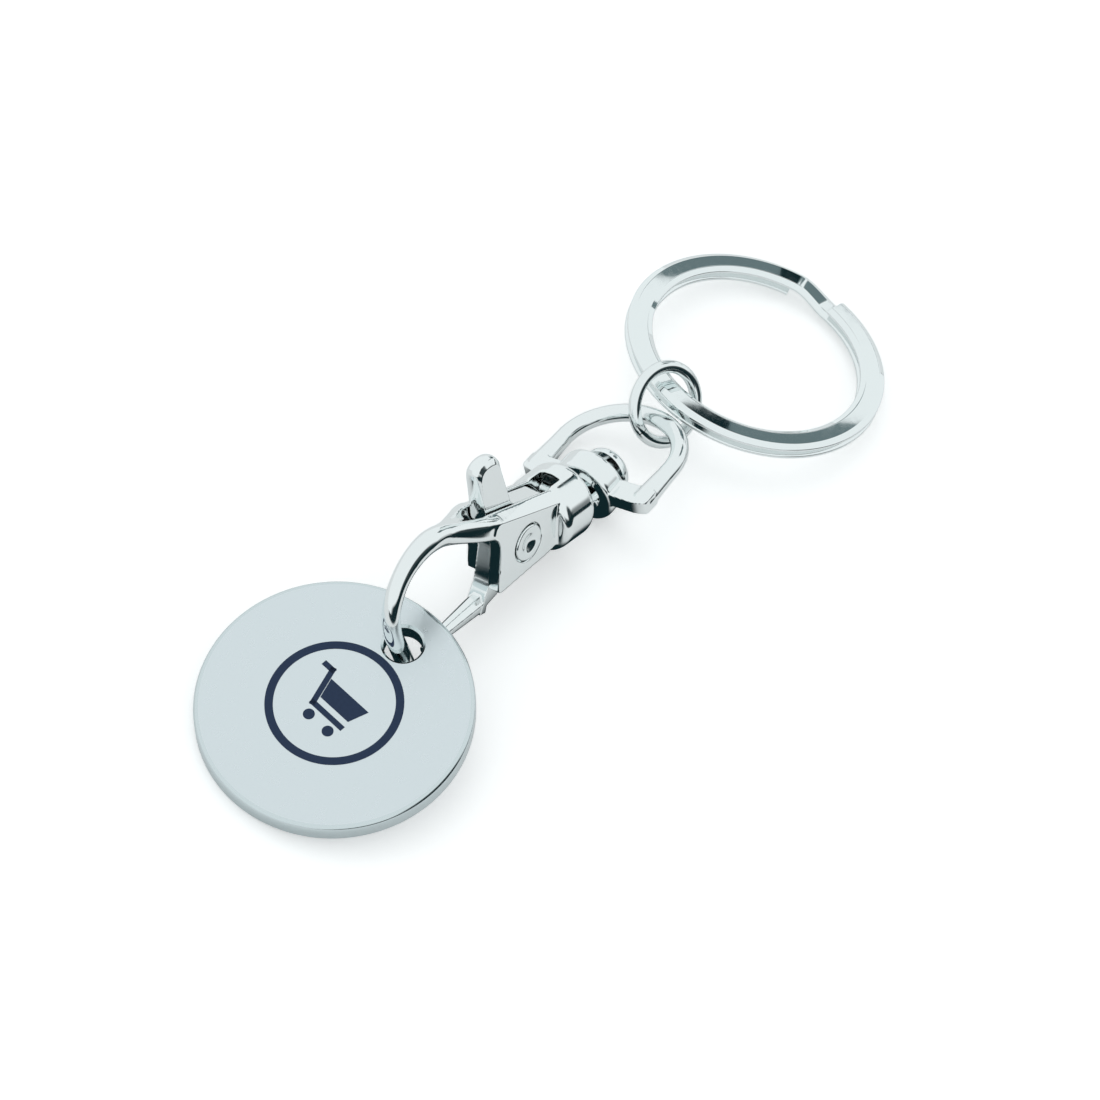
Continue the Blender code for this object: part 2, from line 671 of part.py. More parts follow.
def make_lever(parts, tools):
    """The lever: a flat plate with thumb tab, tail and arm, and the round gate on its end."""
    outline = [
        (PIVOT_X + x * LEVER_SPAN, PIVOT_Y + y * LEVER_SPAN) for x, y in LEVER_OUTLINE_SHARES
    ]
    lever = plate("lever", outline, LEVER_THICKNESS, Matrix.Identity(4), parts)
    stops = (
        (GATE_ROOT_X, GATE_ROOT_Y, GATE_ROOT_RADIUS), (GATE_BEND_X, GATE_BEND_Y, GATE_BEND_RADIUS),
        (GATE_TIP_X, GATE_TIP_Y, GATE_TIP_RADIUS),
    )
    rings = []
    for i, (x, y, radius) in enumerate(stops):
        before, after = stops[max(i - 1, 0)], stops[min(i + 1, len(stops) - 1)]
        forward = Vector((after[0] - before[0], after[1] - before[1], 0.0))
        centre = Vector((PIVOT_X + x, PIVOT_Y + y, 0.0))
        rings.append(section_ring(centre, forward, radius, radius, GATE_SQUARENESS))
    gate = loft("gate_tool", rings, parts)
    lever = combined(lever, [gate], "UNION")
    radius = RIVET_PIN_RADIUS + SEAT_GAP
    reach = LEVER_THICKNESS / 2 + OVERRUN
    profile = [(0.0, reach), (radius, reach), (radius, -reach), (0.0, -reach)]
    frame = Matrix.Translation((PIVOT_X, PIVOT_Y, 0.0))
    bore = as_cutter(turned("lever_bore_tool", profile, TURNED_STEPS, frame, parts), tools)
    return combined(lever, [bore], "DIFFERENCE")


def make_spring(parts):
    """The lever's return spring, and its least gap to itself."""
    low = SLOT_FLOOR + SEAT_GAP + SPRING_WIRE_RADIUS
    tail_under = PIVOT_Y + SPRING_SEAT_SHARE * LEVER_SPAN
    high = tail_under - SEAT_GAP - SPRING_WIRE_RADIUS
    count = round(SPRING_TURNS * SPRING_POINTS_PER_TURN)
    middle = PIVOT_X + SPRING_FROM_PIVOT
    points = []
    for i in range(count + 1):
        angle = math.tau * i / SPRING_POINTS_PER_TURN
        height = low + (high - low) * i / count
        points.append(Vector((
            middle + SPRING_RADIUS * math.cos(angle), height, SPRING_RADIUS * math.sin(angle))))
    report_gap("lever_spring", points, SPRING_POINTS_PER_TURN, SPRING_WIRE_RADIUS)
    return wire("lever_spring", points, SPRING_WIRE_RADIUS, parts, bevel_resolution=1)


def report_gap(name, points, points_per_turn, radius):
    """Print the least gap between points of a coil that are at least half a turn apart."""
    apart = points_per_turn // 2
    least = min(
        (points[i] - points[j]).length
        for i in range(len(points)) for j in range(i + apart, len(points))
    ) - 2 * radius
    print(f"{name}: least gap to itself {least / MM:.2f} mm")


def make_swivel_post(parts):
    """The post: inner head in the chamber, shank through collar and hub, and the outer dome."""
    _, front, _ = chamber_bounds()
    head_start = front + SEAT_GAP - HUB_X
    head_end = head_start + POST_INNER_HEAD_LENGTH
    dome_start = HUB_LENGTH / 2 / math.cos(LOOP_TILT) + POST_DOME_RADIUS * math.tan(LOOP_TILT) + SEAT_GAP
    dome_top = dome_start + POST_DOME_HEIGHT
    crown = POST_DOME_HEIGHT - POST_DOME_RIM
    profile = [(0.0, dome_top)]
    for step in range(1, DOME_STEPS + 1):
        angle = math.pi / 2 * step / DOME_STEPS
        profile.append((
            POST_DOME_RADIUS * math.sin(angle), dome_start + POST_DOME_RIM + crown * math.cos(angle)))
    profile += [
        (POST_DOME_RADIUS, dome_start), (POST_SHANK_RADIUS, dome_start),
        (POST_SHANK_RADIUS, head_end), (POST_INNER_HEAD_RADIUS, head_end),
        (POST_INNER_HEAD_RADIUS, head_start), (0.0, head_start),
    ]
    return turned("swivel_post", profile, TURNED_STEPS, swivel_matrix(), parts)


def make_swivel_loop(parts, tools):
    """The D of wire with its flat crossbar and round hub."""
    frame = loop_matrix()
    points = [Vector((-LOOP_HALF_WIDTH, 0.0, 0.0)), Vector((-LOOP_HALF_WIDTH, LOOP_LEG, 0.0))]
    crown = LOOP_HEIGHT - LOOP_LEG
    for step in range(1, LOOP_ARC_STEPS):
        angle = math.pi * (1 - step / LOOP_ARC_STEPS)
        points.append(Vector((
            LOOP_HALF_WIDTH * math.cos(angle), LOOP_LEG + crown * math.sin(angle), 0.0)))
    points += [Vector((LOOP_HALF_WIDTH, LOOP_LEG, 0.0)), Vector((LOOP_HALF_WIDTH, 0.0, 0.0))]
    loop = wire("swivel_loop", [frame @ point for point in points], LOOP_WIRE_RADIUS, parts)
    half = (CROSSBAR_HALF_LENGTH, CROSSBAR_WIDTH / 2, CROSSBAR_THICKNESS / 2)
    bar = box("crossbar_tool", [-side for side in half], half, frame, parts)
    bar = rounded(bar, CROSSBAR_EDGE)
    turn = frame @ Matrix.Rotation(math.radians(-90), 4, "X")
    profile = [
        (0.0, HUB_LENGTH / 2), (HUB_RADIUS - HUB_EDGE, HUB_LENGTH / 2),
        (HUB_RADIUS, HUB_LENGTH / 2 - HUB_EDGE), (HUB_RADIUS, HUB_EDGE - HUB_LENGTH / 2),
        (HUB_RADIUS - HUB_EDGE, -HUB_LENGTH / 2), (0.0, -HUB_LENGTH / 2),
    ]
    hub = turned("hub_tool", profile, TURNED_STEPS, turn, parts)
    loop = combined(loop, [bar, hub], "UNION")
    radius = hub_bore_radius()
    reach = HUB_LENGTH / 2 + OVERRUN
    profile = [(0.0, reach), (radius, reach), (radius, -reach), (0.0, -reach)]
    bore = as_cutter(turned("hub_bore_tool", profile, TURNED_STEPS, turn, parts), tools)
    return combined(loop, [bore], "DIFFERENCE")


def hub_bore_radius():
    """Wide enough for the post to lean by the loop's tilt."""
    lean = HUB_LENGTH / 2 * math.tan(LOOP_TILT)
    return POST_SHANK_RADIUS / math.cos(LOOP_TILT) + lean + SEAT_GAP


def make_jump_ring(parts):
    """A ring of round wire whose two ends butt together."""
    frame = jump_matrix()
    half_gap = JUMP_BUTT_GAP / 2 / JUMP_RADIUS
    points = []
    for i in range(JUMP_STEPS + 1):
        angle = JUMP_BUTT_ANGLE + half_gap + (math.tau - 2 * half_gap) * i / JUMP_STEPS
        points.append(frame @ polar(JUMP_RADIUS, angle))
    return wire("jump_ring", points, JUMP_WIRE_RADIUS, parts)


def split_section(centre, out, up):
    """The bevelled section of the split ring's wire."""
    half_width, half_height = SPLIT_WIRE_WIDTH / 2, SPLIT_LAYER_THICKNESS / 2
    flat, wall = half_width - SPLIT_BEVEL, half_height - SPLIT_BEVEL / 2
    corners = (
        (half_width, wall), (flat, half_height), (-flat, half_height), (-half_width, wall),
        (-half_width, -wall), (-flat, -half_height), (flat, -half_height), (half_width, -wall),
    )
    return [centre + out * x + up * y for x, y in corners]


def make_split_ring(parts):
    """Two flat turns: the upper layer crosses down to the lower one between the wire's two ends."""
    frame = split_matrix()
    radius = split_radius()
    level = (SPLIT_LAYER_THICKNESS + SPLIT_LAYER_GAP) / 2
    jog = SPLIT_BOTTOM_END - SPLIT_TOP_END
    clear = SPLIT_END_GAP / radius
    jog_start = math.tau - jog + clear
    jog_end = math.tau - clear
    total = 2 * math.tau - jog
    axis = frame.to_3x3() @ Vector((0, 0, 1))
    travels = [total * i / SPLIT_STEPS for i in range(SPLIT_STEPS + 1)]
    rings = []
    for travel in travels:
        angle = SPLIT_TOP_END - travel
        drop = ease((travel - jog_start) / (jog_end - jog_start))
        out = frame.to_3x3() @ Vector((math.cos(angle), math.sin(angle), 0.0))
        centre = frame.translation + out * radius + axis * level * (1 - 2 * drop)
        rings.append(split_section(centre, out, axis))
    print(f"split_ring: gap between its layers {SPLIT_LAYER_GAP / MM:.2f} mm")
    return loft("split_ring", rings, parts)


def lay_down(keyring, pieces):
    """Move the keyring so that its box stands on the origin, at the middle of its bottom face."""
    bpy.context.view_layer.update()
    corners = [piece.matrix_world @ vertex.co for piece in pieces for vertex in piece.data.vertices]
    low = Vector([min(corner[axis] for corner in corners) for axis in range(3)])
    high = Vector([max(corner[axis] for corner in corners) for axis in range(3)])
    keyring.location = (-(low.x + high.x) / 2, -(low.y + high.y) / 2, -low.z)
    bpy.context.view_layer.update()


def build():
    """Make every piece, hang each on its joint and lay the keyring down."""
    for old in list(bpy.data.objects):
        bpy.data.objects.remove(old)
    scene = bpy.context.scene
    parts = bpy.data.collections.new("trolley_coin_keyring")
    tools = bpy.data.collections.new("cutters")
    scene.collection.children.link(parts)
    scene.collection.children.link(tools)

    coin = make_coin(parts, tools)
    body = make_hook_body(parts, tools)
    rivet = make_rivet(parts)
    lever = make_lever(parts, tools)
    spring = make_spring(parts)
    post = make_swivel_post(parts)
    loop = make_swivel_loop(parts, tools)
    jump_ring = make_jump_ring(parts)
    split_ring = make_split_ring(parts)

    keyring = bpy.data.objects.new("keyring", None)
    parts.objects.link(keyring)
    clasp = bpy.data.objects.new("clasp_frame", None)
    parts.objects.link(clasp)
    clasp.parent = keyring
    upright = math.radians(90) + CLASP_LEAN
    clasp.matrix_basis = Matrix.Rotation(CLASP_SLOPE, 4, "Y") @ Matrix.Rotation(upright, 4, "X")

    coin_slide = joint_empty("coin_slide_axis", coin_slide_matrix(), clasp, parts)
    pivot = joint_empty("lever_axis", Matrix.Translation((PIVOT_X, PIVOT_Y, 0.0)), clasp, parts)
    swivel = joint_empty("swivel_axis", swivel_matrix(), clasp, parts)
    jump_hinge = joint_empty("jump_ring_axis", jump_hinge_matrix(), clasp, parts)
    split_hinge = joint_empty("split_ring_axis", split_hinge_matrix(), clasp, parts)

    hang(coin, coin_slide, make_metal("satin_token_steel", TOKEN_STEEL, SATIN))
    hang(body, pivot, make_metal("cast_body_nickel", NICKEL, POLISHED))
    hang(rivet, pivot, make_metal("rivet_nickel", NICKEL, TURNED))
    hang(lever, pivot, make_metal("cast_lever_nickel", NICKEL, POLISHED))
    hang(spring, pivot, make_metal("spring_steel", SPRING_STEEL, SATIN))
    hang(post, swivel, make_metal("post_nickel", NICKEL, TURNED))
    hang(loop, swivel, make_metal("cast_loop_nickel", NICKEL, POLISHED))
    hang(jump_ring, jump_hinge, make_metal("jump_ring_nickel", NICKEL, POLISHED))
    hang(split_ring, split_hinge, make_metal("split_ring_nickel", NICKEL, POLISHED))
    pieces = [coin, body, rivet, lever, spring, post, loop, jump_ring, split_ring]
    lay_down(keyring, pieces)


build()
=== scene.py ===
"""The looks of a trolley coin keyring: polished nickel links and clasp, a satin token with a printed mark.

Every piece is made in millimetres in the clasp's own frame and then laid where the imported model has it.
The clasp's frame has its origin at the centre of the hook's round bend, +X along the clasp towards the
swivel, +Y towards the thumb tab and +Z across the cheeks, towards the side with the dimpled rivet.
"""

import json
import math

import bmesh
import bpy
from mathutils import Matrix, Vector


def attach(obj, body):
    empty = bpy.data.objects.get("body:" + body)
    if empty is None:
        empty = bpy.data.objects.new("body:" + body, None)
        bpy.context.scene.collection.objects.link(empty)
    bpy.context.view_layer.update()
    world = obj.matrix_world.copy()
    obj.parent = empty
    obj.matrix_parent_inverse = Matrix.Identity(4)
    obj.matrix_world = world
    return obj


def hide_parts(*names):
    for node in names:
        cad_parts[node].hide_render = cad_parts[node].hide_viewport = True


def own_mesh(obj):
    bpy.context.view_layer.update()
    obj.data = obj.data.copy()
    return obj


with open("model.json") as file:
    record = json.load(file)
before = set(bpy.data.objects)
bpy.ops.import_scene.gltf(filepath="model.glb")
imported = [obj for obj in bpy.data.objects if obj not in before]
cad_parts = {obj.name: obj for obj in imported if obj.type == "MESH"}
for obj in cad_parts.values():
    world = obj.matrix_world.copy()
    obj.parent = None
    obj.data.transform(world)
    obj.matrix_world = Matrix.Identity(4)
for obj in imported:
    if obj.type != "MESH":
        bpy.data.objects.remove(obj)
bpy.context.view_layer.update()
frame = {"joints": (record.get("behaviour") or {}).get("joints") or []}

MM = 0.001

# Camera, in the clasp's frame: what it looks at, and the way back to it
CAMERA_AIM = Vector((7.15, 3.42, 6.98))
CAMERA_BACK = Vector((-0.6666, 0.5656, 0.4856))
CAMERA_UP = Vector((0.4375, 0.8242, -0.3594))
CAMERA_DISTANCE = 400.0
CAMERA_LENS = 158.4
CAMERA_SENSOR = 36.0
CAMERA_CLIP_START = 0.01

# Clasp pivot, counted from the hook's bend, which places the clasp's frame
PIVOT = Vector((10.50, 0.35, 0.0))

# Fine mesh sizes of the cast pieces, and how many times each is smoothed
BODY_VOXEL = 0.095
LOOP_VOXEL = 0.075
LEVER_VOXEL = 0.070
CAST_SMOOTHING = 10
LEVER_SMOOTHING = 3
SMOOTHING_FACTOR = 0.5

# How far a cutter runs past the face that it opens
OVERRUN = 1.0

# Corners between faces that meet above this angle stay crisp, and a cast piece has none
SHARP = math.radians(38)
SOFT = math.radians(180)

# A rounded corner takes less than half of each side that it joins
CORNER_LIMIT = 0.49

# Points closer than this are one, in a wire and in the printed mark
WIRE_MERGE = 0.001
MARK_MERGE = 0.002

# Sizes of the faint haze patches in a plated finish and of the mottle in printed ink
HAZE_GRAIN = 0.9
INK_MOTTLE = 0.25
NOISE_LOW = 0.35
NOISE_HIGH = 0.65

# Tones of the table and the studio
WHITE = "#FFFFFF"
TABLE_TONE = "#F2F4F4"
DOME_TONE = "#F6F9FA"
STUDIO_PALE = "#F0F5F6"
STUDIO_GREY = "#68797C"
STUDIO_DARK = "#12262A"

# Cards that the metal sees: the way to them from the split ring's centre, and the place of the ring's jog
CARD_TOWARDS = (0.7645, 0.2625, 0.5889)
CARD_ACROSS = (0.466, -0.829, -0.236)
CARD_DISTANCE = 70.0
JOG_PLACE = Vector((54.96, 2.90, 0.65))
CARDS = (
    # name, tone, share of the way out from the ring's jog, and corners across and up, in mm from the middle
    ("high_grey_card", STUDIO_GREY, 1.0, ((-20.0, 7.7), (3.0, 8.7), (3.0, 30.0), (-20.0, 30.0))),
    ("high_dark_card", STUDIO_DARK, 1.0, ((3.0, 8.7), (6.6, 8.9), (6.6, 30.0), (3.0, 30.0))),
    ("high_side_card", STUDIO_GREY, 1.0, (
        (6.6, 8.9), (9.6, 9.1), (13.0, 7.3), (15.5, 7.0), (15.5, 40.0), (6.6, 40.0))),
    ("jog_card", STUDIO_GREY, 0.35, (
        (16.5, 8.8), (19.0, 4.8), (26.0, 0.8), (30.0, -5.0), (38.0, -8.0), (38.0, 6.5), (24.0, 9.0))),
    ("low_dark_card", STUDIO_DARK, 1.0, ((-4.5, -4.2), (-4.5, -26.0), (0.9, -26.0), (0.9, -3.8))),
    ("low_grey_card", STUDIO_GREY, 1.0, ((0.9, -3.8), (0.9, -26.0), (14.5, -26.0), (14.5, -2.7))),
)

# Coin
COIN_RADIUS = 11.625
COIN_HALF = 0.975
COIN_EDGE = 0.42
COIN_HOLE_RADIUS = 1.65
COIN_HOLE_CHAMFER = 0.22
COIN_HOLE_FROM_RIM = 3.80
COIN_PITCH = math.radians(21.8)
COIN_ROLL = math.radians(13.9)
COIN_YAW = math.radians(-10.5)
COIN_ALONG_HOOK = 2.50
COIN_HOLE_INSET = 0.45
COIN_HOLE_SIDE_SHIFT = -0.13
FLAT_FACE = 0.999

# Printed mark, a plain basket trolley in a ring
MARK_RING_OUTER = 5.75
MARK_RING_INNER = 5.05
MARK_THICKNESS = 0.02
MARK_SCALE = 0.80
MARK_HANDLE = ((-3.9, 2.5), (-2.9, 2.5), (-1.6, -1.5), (2.5, -1.5))
MARK_BASKET = ((-2.25, 1.7), (3.3, 1.7), (2.6, -0.55), (-1.5, -0.55))
MARK_WHEELS = ((-0.9, -2.75), (1.9, -2.75))
MARK_HANDLE_WIDTH = 0.62
MARK_WHEEL_RADIUS = 0.62

# Hook
HOOK_BEND_RADIUS = 5.10
HOOK_WIRE_RADIUS = 0.80
HOOK_NOSE_RADIUS = 0.60
HOOK_NOSE_STRAIGHT = 4.20
HOOK_CURL_RADIUS = 1.90
HOOK_TIP_LENGTH = 0.60
HOOK_ROOT_HALF_HEIGHT = 1.05
HOOK_ROOT_HALF_WIDTH = 2.25
HOOK_BEAM_LENGTH = 5.60
HOOK_TOP_ANGLE = math.radians(76)
HOOK_SWELL_ANGLE = math.radians(150)
HOOK_STRAIGHT_ANGLE = math.radians(204)
HOOK_CURL = math.radians(66)
HOOK_BEND_SWELL = 1.25
HOOK_SIDES = 40
HOOK_TIP_ROUND = 0.94

# Squareness of a section: a circle, and the hook's root, which is nearly a rectangle
ROUND = 2
HOOK_ROOT_SQUARE = 6

# Clasp body: collar, and the chamber in it for the swivel post's inner head
BODY_WIDTH = 4.60
COLLAR_RADIUS = 3.45
COLLAR_EDGE = 0.80
COLLAR_START = 14.50
COLLAR_END = 18.70
COLLAR_AXIS_Y = -0.12
CHAMBER_RADIUS = 2.05
CHAMBER_FRONT = 15.35
CHAMBER_REAR = 16.65
SWIVEL_AXIS_Y = -0.68
POST_GAP = 0.20
BORE_FLARE = 0.25

# Cheeks' outline, counted from the pivot: x, y, and how far each corner is rounded off
CHEEK_CORNERS = (
    (-4.45, 3.75, 0.2), (6.6, 1.15, 0.4), (6.6, -1.80, 0.4), (4.5, -2.25, 1.6), (2.6, -2.65, 1.2),
    (0.2, -2.85, 1.6), (-3.85, -3.30, 0.45), (-3.92, -2.70, 0.5), (-3.72, 1.9, 1.3), (-4.75, 2.75, 0.9),
)

# Slot for the lever: open below at its front, with a floor under the lever's tail and a pocket behind it
SLOT_WIDTH = 2.00
SLOT_FRONT = 5.55
SLOT_REAR = 16.50
SLOT_TOP = 6.35
SLOT_BOTTOM = -4.65
SLOT_FLOOR = -1.55
SLOT_FLOOR_START = 11.40
SLOT_FLOOR_END = 16.00
SLOT_CORNERS = (
    (SLOT_FRONT, SLOT_BOTTOM, 0.0), (SLOT_FLOOR_START, SLOT_BOTTOM, 0.0),
    (SLOT_FLOOR_START, SLOT_FLOOR, 0.0), (SLOT_FLOOR_END, SLOT_FLOOR, 0.0),
    (SLOT_FLOOR_END, 1.30, 0.3), (SLOT_REAR, 2.00, 0.3), (SLOT_REAR, SLOT_TOP, 0.0),
    (SLOT_FRONT, SLOT_TOP, 0.0),
)

# Cheeks' sloping top at stations along the clasp: the crown's height and half width, then the shoulder's
RAIL_DEPTH = 1.2
RAIL_STATIONS = (
    (1.6, 5.75, 0.35, 5.30, 0.80), (3.5, 5.45, 0.75, 4.95, 1.42), (5.4, 5.08, 1.10, 4.58, 2.12),
    (6.6, 4.80, 1.25, 4.28, 2.30), (11.0, 3.82, 1.25, 3.12, 2.30), (17.0, 2.50, 1.25, 1.60, 2.30),
)

# Valley along the top of the hook at stations along the clasp: floor height and half width
VALLEY_TOP = 7.0
VALLEY_FLARE = 0.2
VALLEY_WALL_SHARE = 0.5
VALLEY_BED_SHARE = 0.4
VALLEY_STATIONS = ((5.9, 4.00, 0.95), (4.6, 4.75, 0.72), (3.4, 5.22, 0.42), (2.3, 5.62, 0.15))

# Stretch of the hook's root that is smoothed again, and the height over which that starts
ROOT_SPAN = (-0.4, 6.4)
ROOT_FADE = 1.6
ROOT_UNDERSIDE = 3.4
ROOT_SMOOTHING = 110

# Front of the far cheek that is set back behind the lever's arm
FAR_SETBACK = (
    (4.0, -5.0), (8.3, -5.0), (8.1, -3.0), (8.0, -0.5), (7.7, 1.2), (7.1, 2.1), (6.2, 2.5), (4.0, 2.5))

# Rivet
RIVET_PIN_RADIUS = 0.80
RIVET_HEAD_RADIUS = 1.66
RIVET_HEAD_HEIGHT = 0.50
RIVET_EDGE = 0.16
RIVET_SEAT_GAP = 0.14
RIVET_DIMPLE_RADIUS = 1.02
RIVET_DIMPLE_DEPTH = 0.30
RIVET_DIMPLE_POWER = 1.5
RIVET_PROUD = 0.10

# Lever, counted from its pivot: its thickness, and the thumb tab's crowned rim
LEVER_THICKNESS = 1.70
TAB_ROOT = 3.6
TAB_SHOULDER = 7.6
TAB_TOP = 8.85
TAB_CROWN = 0.30
TAB_DOME = 0.62
TAB_CROWN_RUN = 1.2

# Lever's outline, from the thumb tab over the tail and under the arm to the gate, as x, y and rounding
LEVER_CORNERS = (
    (-4.0, 3.4, 0.3), (-4.95, TAB_TOP, 1.25), (-2.55, TAB_TOP, 1.05), (-0.6, 3.6, 0.5), (3.95, 2.48, 0.7),
    (3.70, 1.35, 0.3), (2.0, 1.2, 0.5), (1.6, -0.3, 0.6), (1.0, -1.45, 0.5), (-0.2, -1.7, 0.4),
    (-1.1, -2.0, 0.5), (-2.05, -4.6, 0.4), (-3.70, -5.10, 0.15), (-3.85, -5.75, 0.1), (-4.6, -5.70, 0.1),
    (-4.05, -4.35, 0.2), (-3.4, -3.2, 0.6), (-3.15, -1.5, 1.2), (-2.7, 1.2, 1.2),
)

# Gate, as stops along it with their half sizes, and its eight facets
GATE_STOPS = ((-3.72, -5.06, 0.86), (-4.5, -5.12, 0.88), (-8.1, -5.50, 0.66), (-11.2, -6.05, 0.42))
GATE_SIDES = 8
GATE_SQUARENESS = 2.3

# Swivel post: shank, inner head, and outer dome with its rim
POST_SHANK_RADIUS = 0.85
POST_HEAD_RADIUS = 1.75
POST_HEAD_LENGTH = 0.70
POST_DOME_RADIUS = 2.25
POST_DOME_HEIGHT = 1.50
POST_DOME_RIM = 0.35
POST_DOME_EDGE = 0.12
POST_PLAY = 0.30

# Swivel loop's hub, which is countersunk on the collar's side
HUB_X = 22.10
HUB_RADIUS = 3.10
HUB_LENGTH = 2.40
HUB_EDGE = 0.45
HUB_SINK = 0.55

# Swivel loop: a D of wire, thicker towards its two rounded ends, which are listed by height and radius
LOOP_TILT = math.radians(14.0)
LOOP_SPIN = math.radians(-6.4)
LOOP_WIRE_RADIUS = 0.80
LOOP_CORNER_RADIUS = 0.98
LOOP_END_DOME = ((-0.56, 0.60), (-0.44, 0.78), (-0.24, 0.92))
LOOP_HALF_WIDTH = 5.70
LOOP_LEG = 4.20
LOOP_HEIGHT = 9.45
LOOP_SIDES = 32

# Swivel loop's crossbar
BAR_HALF_LENGTH = 6.62
BAR_WIDTH = 2.10
BAR_THICKNESS = 1.35
BAR_SHOULDER_RUN = 1.2
BAR_END_SHARE = 0.7
BAR_END_ROUNDING = 0.35
BAR_SHOULDER_ROUNDING = 0.5

# Jump ring
JUMP_RADIUS = 3.34
JUMP_WIRE_RADIUS = 0.56
JUMP_BUTT_GAP = 0.08
JUMP_BUTT_ANGLE = math.radians(200)
JUMP_CENTRE = Vector((32.650, 2.333, 0.288))
JUMP_NORMAL_TURN = math.radians(-15.2)
JUMP_NORMAL_RISE = math.radians(17.9)

# Split ring
SPLIT_OUTER_DIAMETER = 23.80
SPLIT_WIRE_WIDTH = 2.25
SPLIT_LAYER_THICKNESS = 0.76
SPLIT_LAYER_GAP = 0.08
SPLIT_BEVEL = 0.50
SPLIT_BEVEL_DROP = 0.26
SPLIT_SOFT_EDGE = 0.03
SPLIT_END_GAP = 0.45
SPLIT_CENTRE = Vector((44.243, 2.394, 1.671))
SPLIT_TILT_ALONG = math.radians(0.8)
SPLIT_TILT_ACROSS = math.radians(-19.1)
SPLIT_TOP_END = math.radians(-6.0)
SPLIT_BOTTOM_END = math.radians(18.6)

# Lever spring
SPRING_RADIUS = 0.65
SPRING_WIRE_RADIUS = 0.12
SPRING_X = 13.40
SPRING_LOW = -1.13
SPRING_HIGH = 1.15
SPRING_TURNS = 3.3

# Table, and the glow that keeps it white for the camera
TABLE_SIZE = 3.0
TABLE_DROP = 0.0001
TABLE_GLOW = 0.36

# Side of the studio that is left dark, as a direction on the table, and where the table darkens that way
DARK_SIDE = math.radians(-92)
TABLE_EDGE = 42.0
TABLE_FADE = 12.0

# Dark side of the dome, from its edge to where it is full: how squarely a direction faces it, and how high
DOME_DARK_SIDE = (0.45, 0.80)
DOME_DARK_TOP = (0.26, 0.12)
DOME_STRENGTH = 0.80

# Dark flag seen low in the metal: azimuth and elevation of its middle, half width and softness
FLAG_AZIMUTH = math.radians(-76)
FLAG_ELEVATION = math.radians(14)
FLAG_SPREAD = math.radians(24)
FLAG_SOFTNESS = math.radians(6)
FLAG_DEPTH = 0.97

# Painted shade under the clasp, a dark strip of table that only the metal sees: its ends in the clasp's
# frame, its reach, and where it is full
SHADE_ENDS = ((-6.0, 0.0, 0.0), (20.0, 0.0, 0.0))
SHADE_REACH = 7.5
SHADE_CORE = 4.5

# Lamps: name, place in metres, size and power
LAMPS = (
    ("overhead", (0.10, 0.25, 0.60), 0.40, 0.40),
    ("left_fill", (-0.55, 0.10, 0.35), 0.30, 0.15),
)


def linear(hex_colour):
    """An sRGB hex colour as linear RGBA."""
    values = [int(hex_colour[i:i + 2], 16) / 255 for i in (1, 3, 5)]
    return (*[v / 12.92 if v <= 0.04045 else ((v + 0.055) / 1.055) ** 2.4 for v in values], 1.0)


def node(tree, kind, inputs=None, **settings):
    """Add one node to a tree. An input is a plain value or another node's output socket."""
    made = tree.nodes.new(kind)
    for name, value in settings.items():
        setattr(made, name, value)
    for socket, value in (inputs or {}).items():
        if isinstance(value, bpy.types.NodeSocket):
            tree.links.new(value, made.inputs[socket])
        else:
            made.inputs[socket].default_value = value
    return made


# Materials

def plated_metal(name, colour, roughness, ripple_mm, ripple_height, haze):
    """A plated metal whose gloss varies a little, with a slow ripple of this wavelength in its surface."""
    material = bpy.data.materials.new(name)
    material.use_nodes = True
    tree = material.node_tree
    shader = tree.nodes["Principled BSDF"]
    place = node(tree, "ShaderNodeTexCoord")
    ripple = node(tree, "ShaderNodeTexNoise", {
        "Vector": place.outputs["Object"], "Scale": 1 / (ripple_mm * MM), "Detail": 1.0})
    bump = node(tree, "ShaderNodeBump", {
        "Height": ripple.outputs["Fac"], "Strength": 1.0, "Distance": ripple_height * MM})
    cloud = node(tree, "ShaderNodeTexNoise", {
        "Vector": place.outputs["Object"], "Scale": 1 / (HAZE_GRAIN * MM), "Detail": 3.0})
    gloss = node(tree, "ShaderNodeMapRange", {
        "Value": cloud.outputs["Fac"], "From Min": NOISE_LOW, "From Max": NOISE_HIGH,
        "To Min": roughness, "To Max": roughness + haze})
    shader.inputs["Base Color"].default_value = linear(colour)
    shader.inputs["Metallic"].default_value = 1.0
    tree.links.new(gloss.outputs["Result"], shader.inputs["Roughness"])
    tree.links.new(bump.outputs["Normal"], shader.inputs["Normal"])
    material.diffuse_color = linear(colour)
    return material


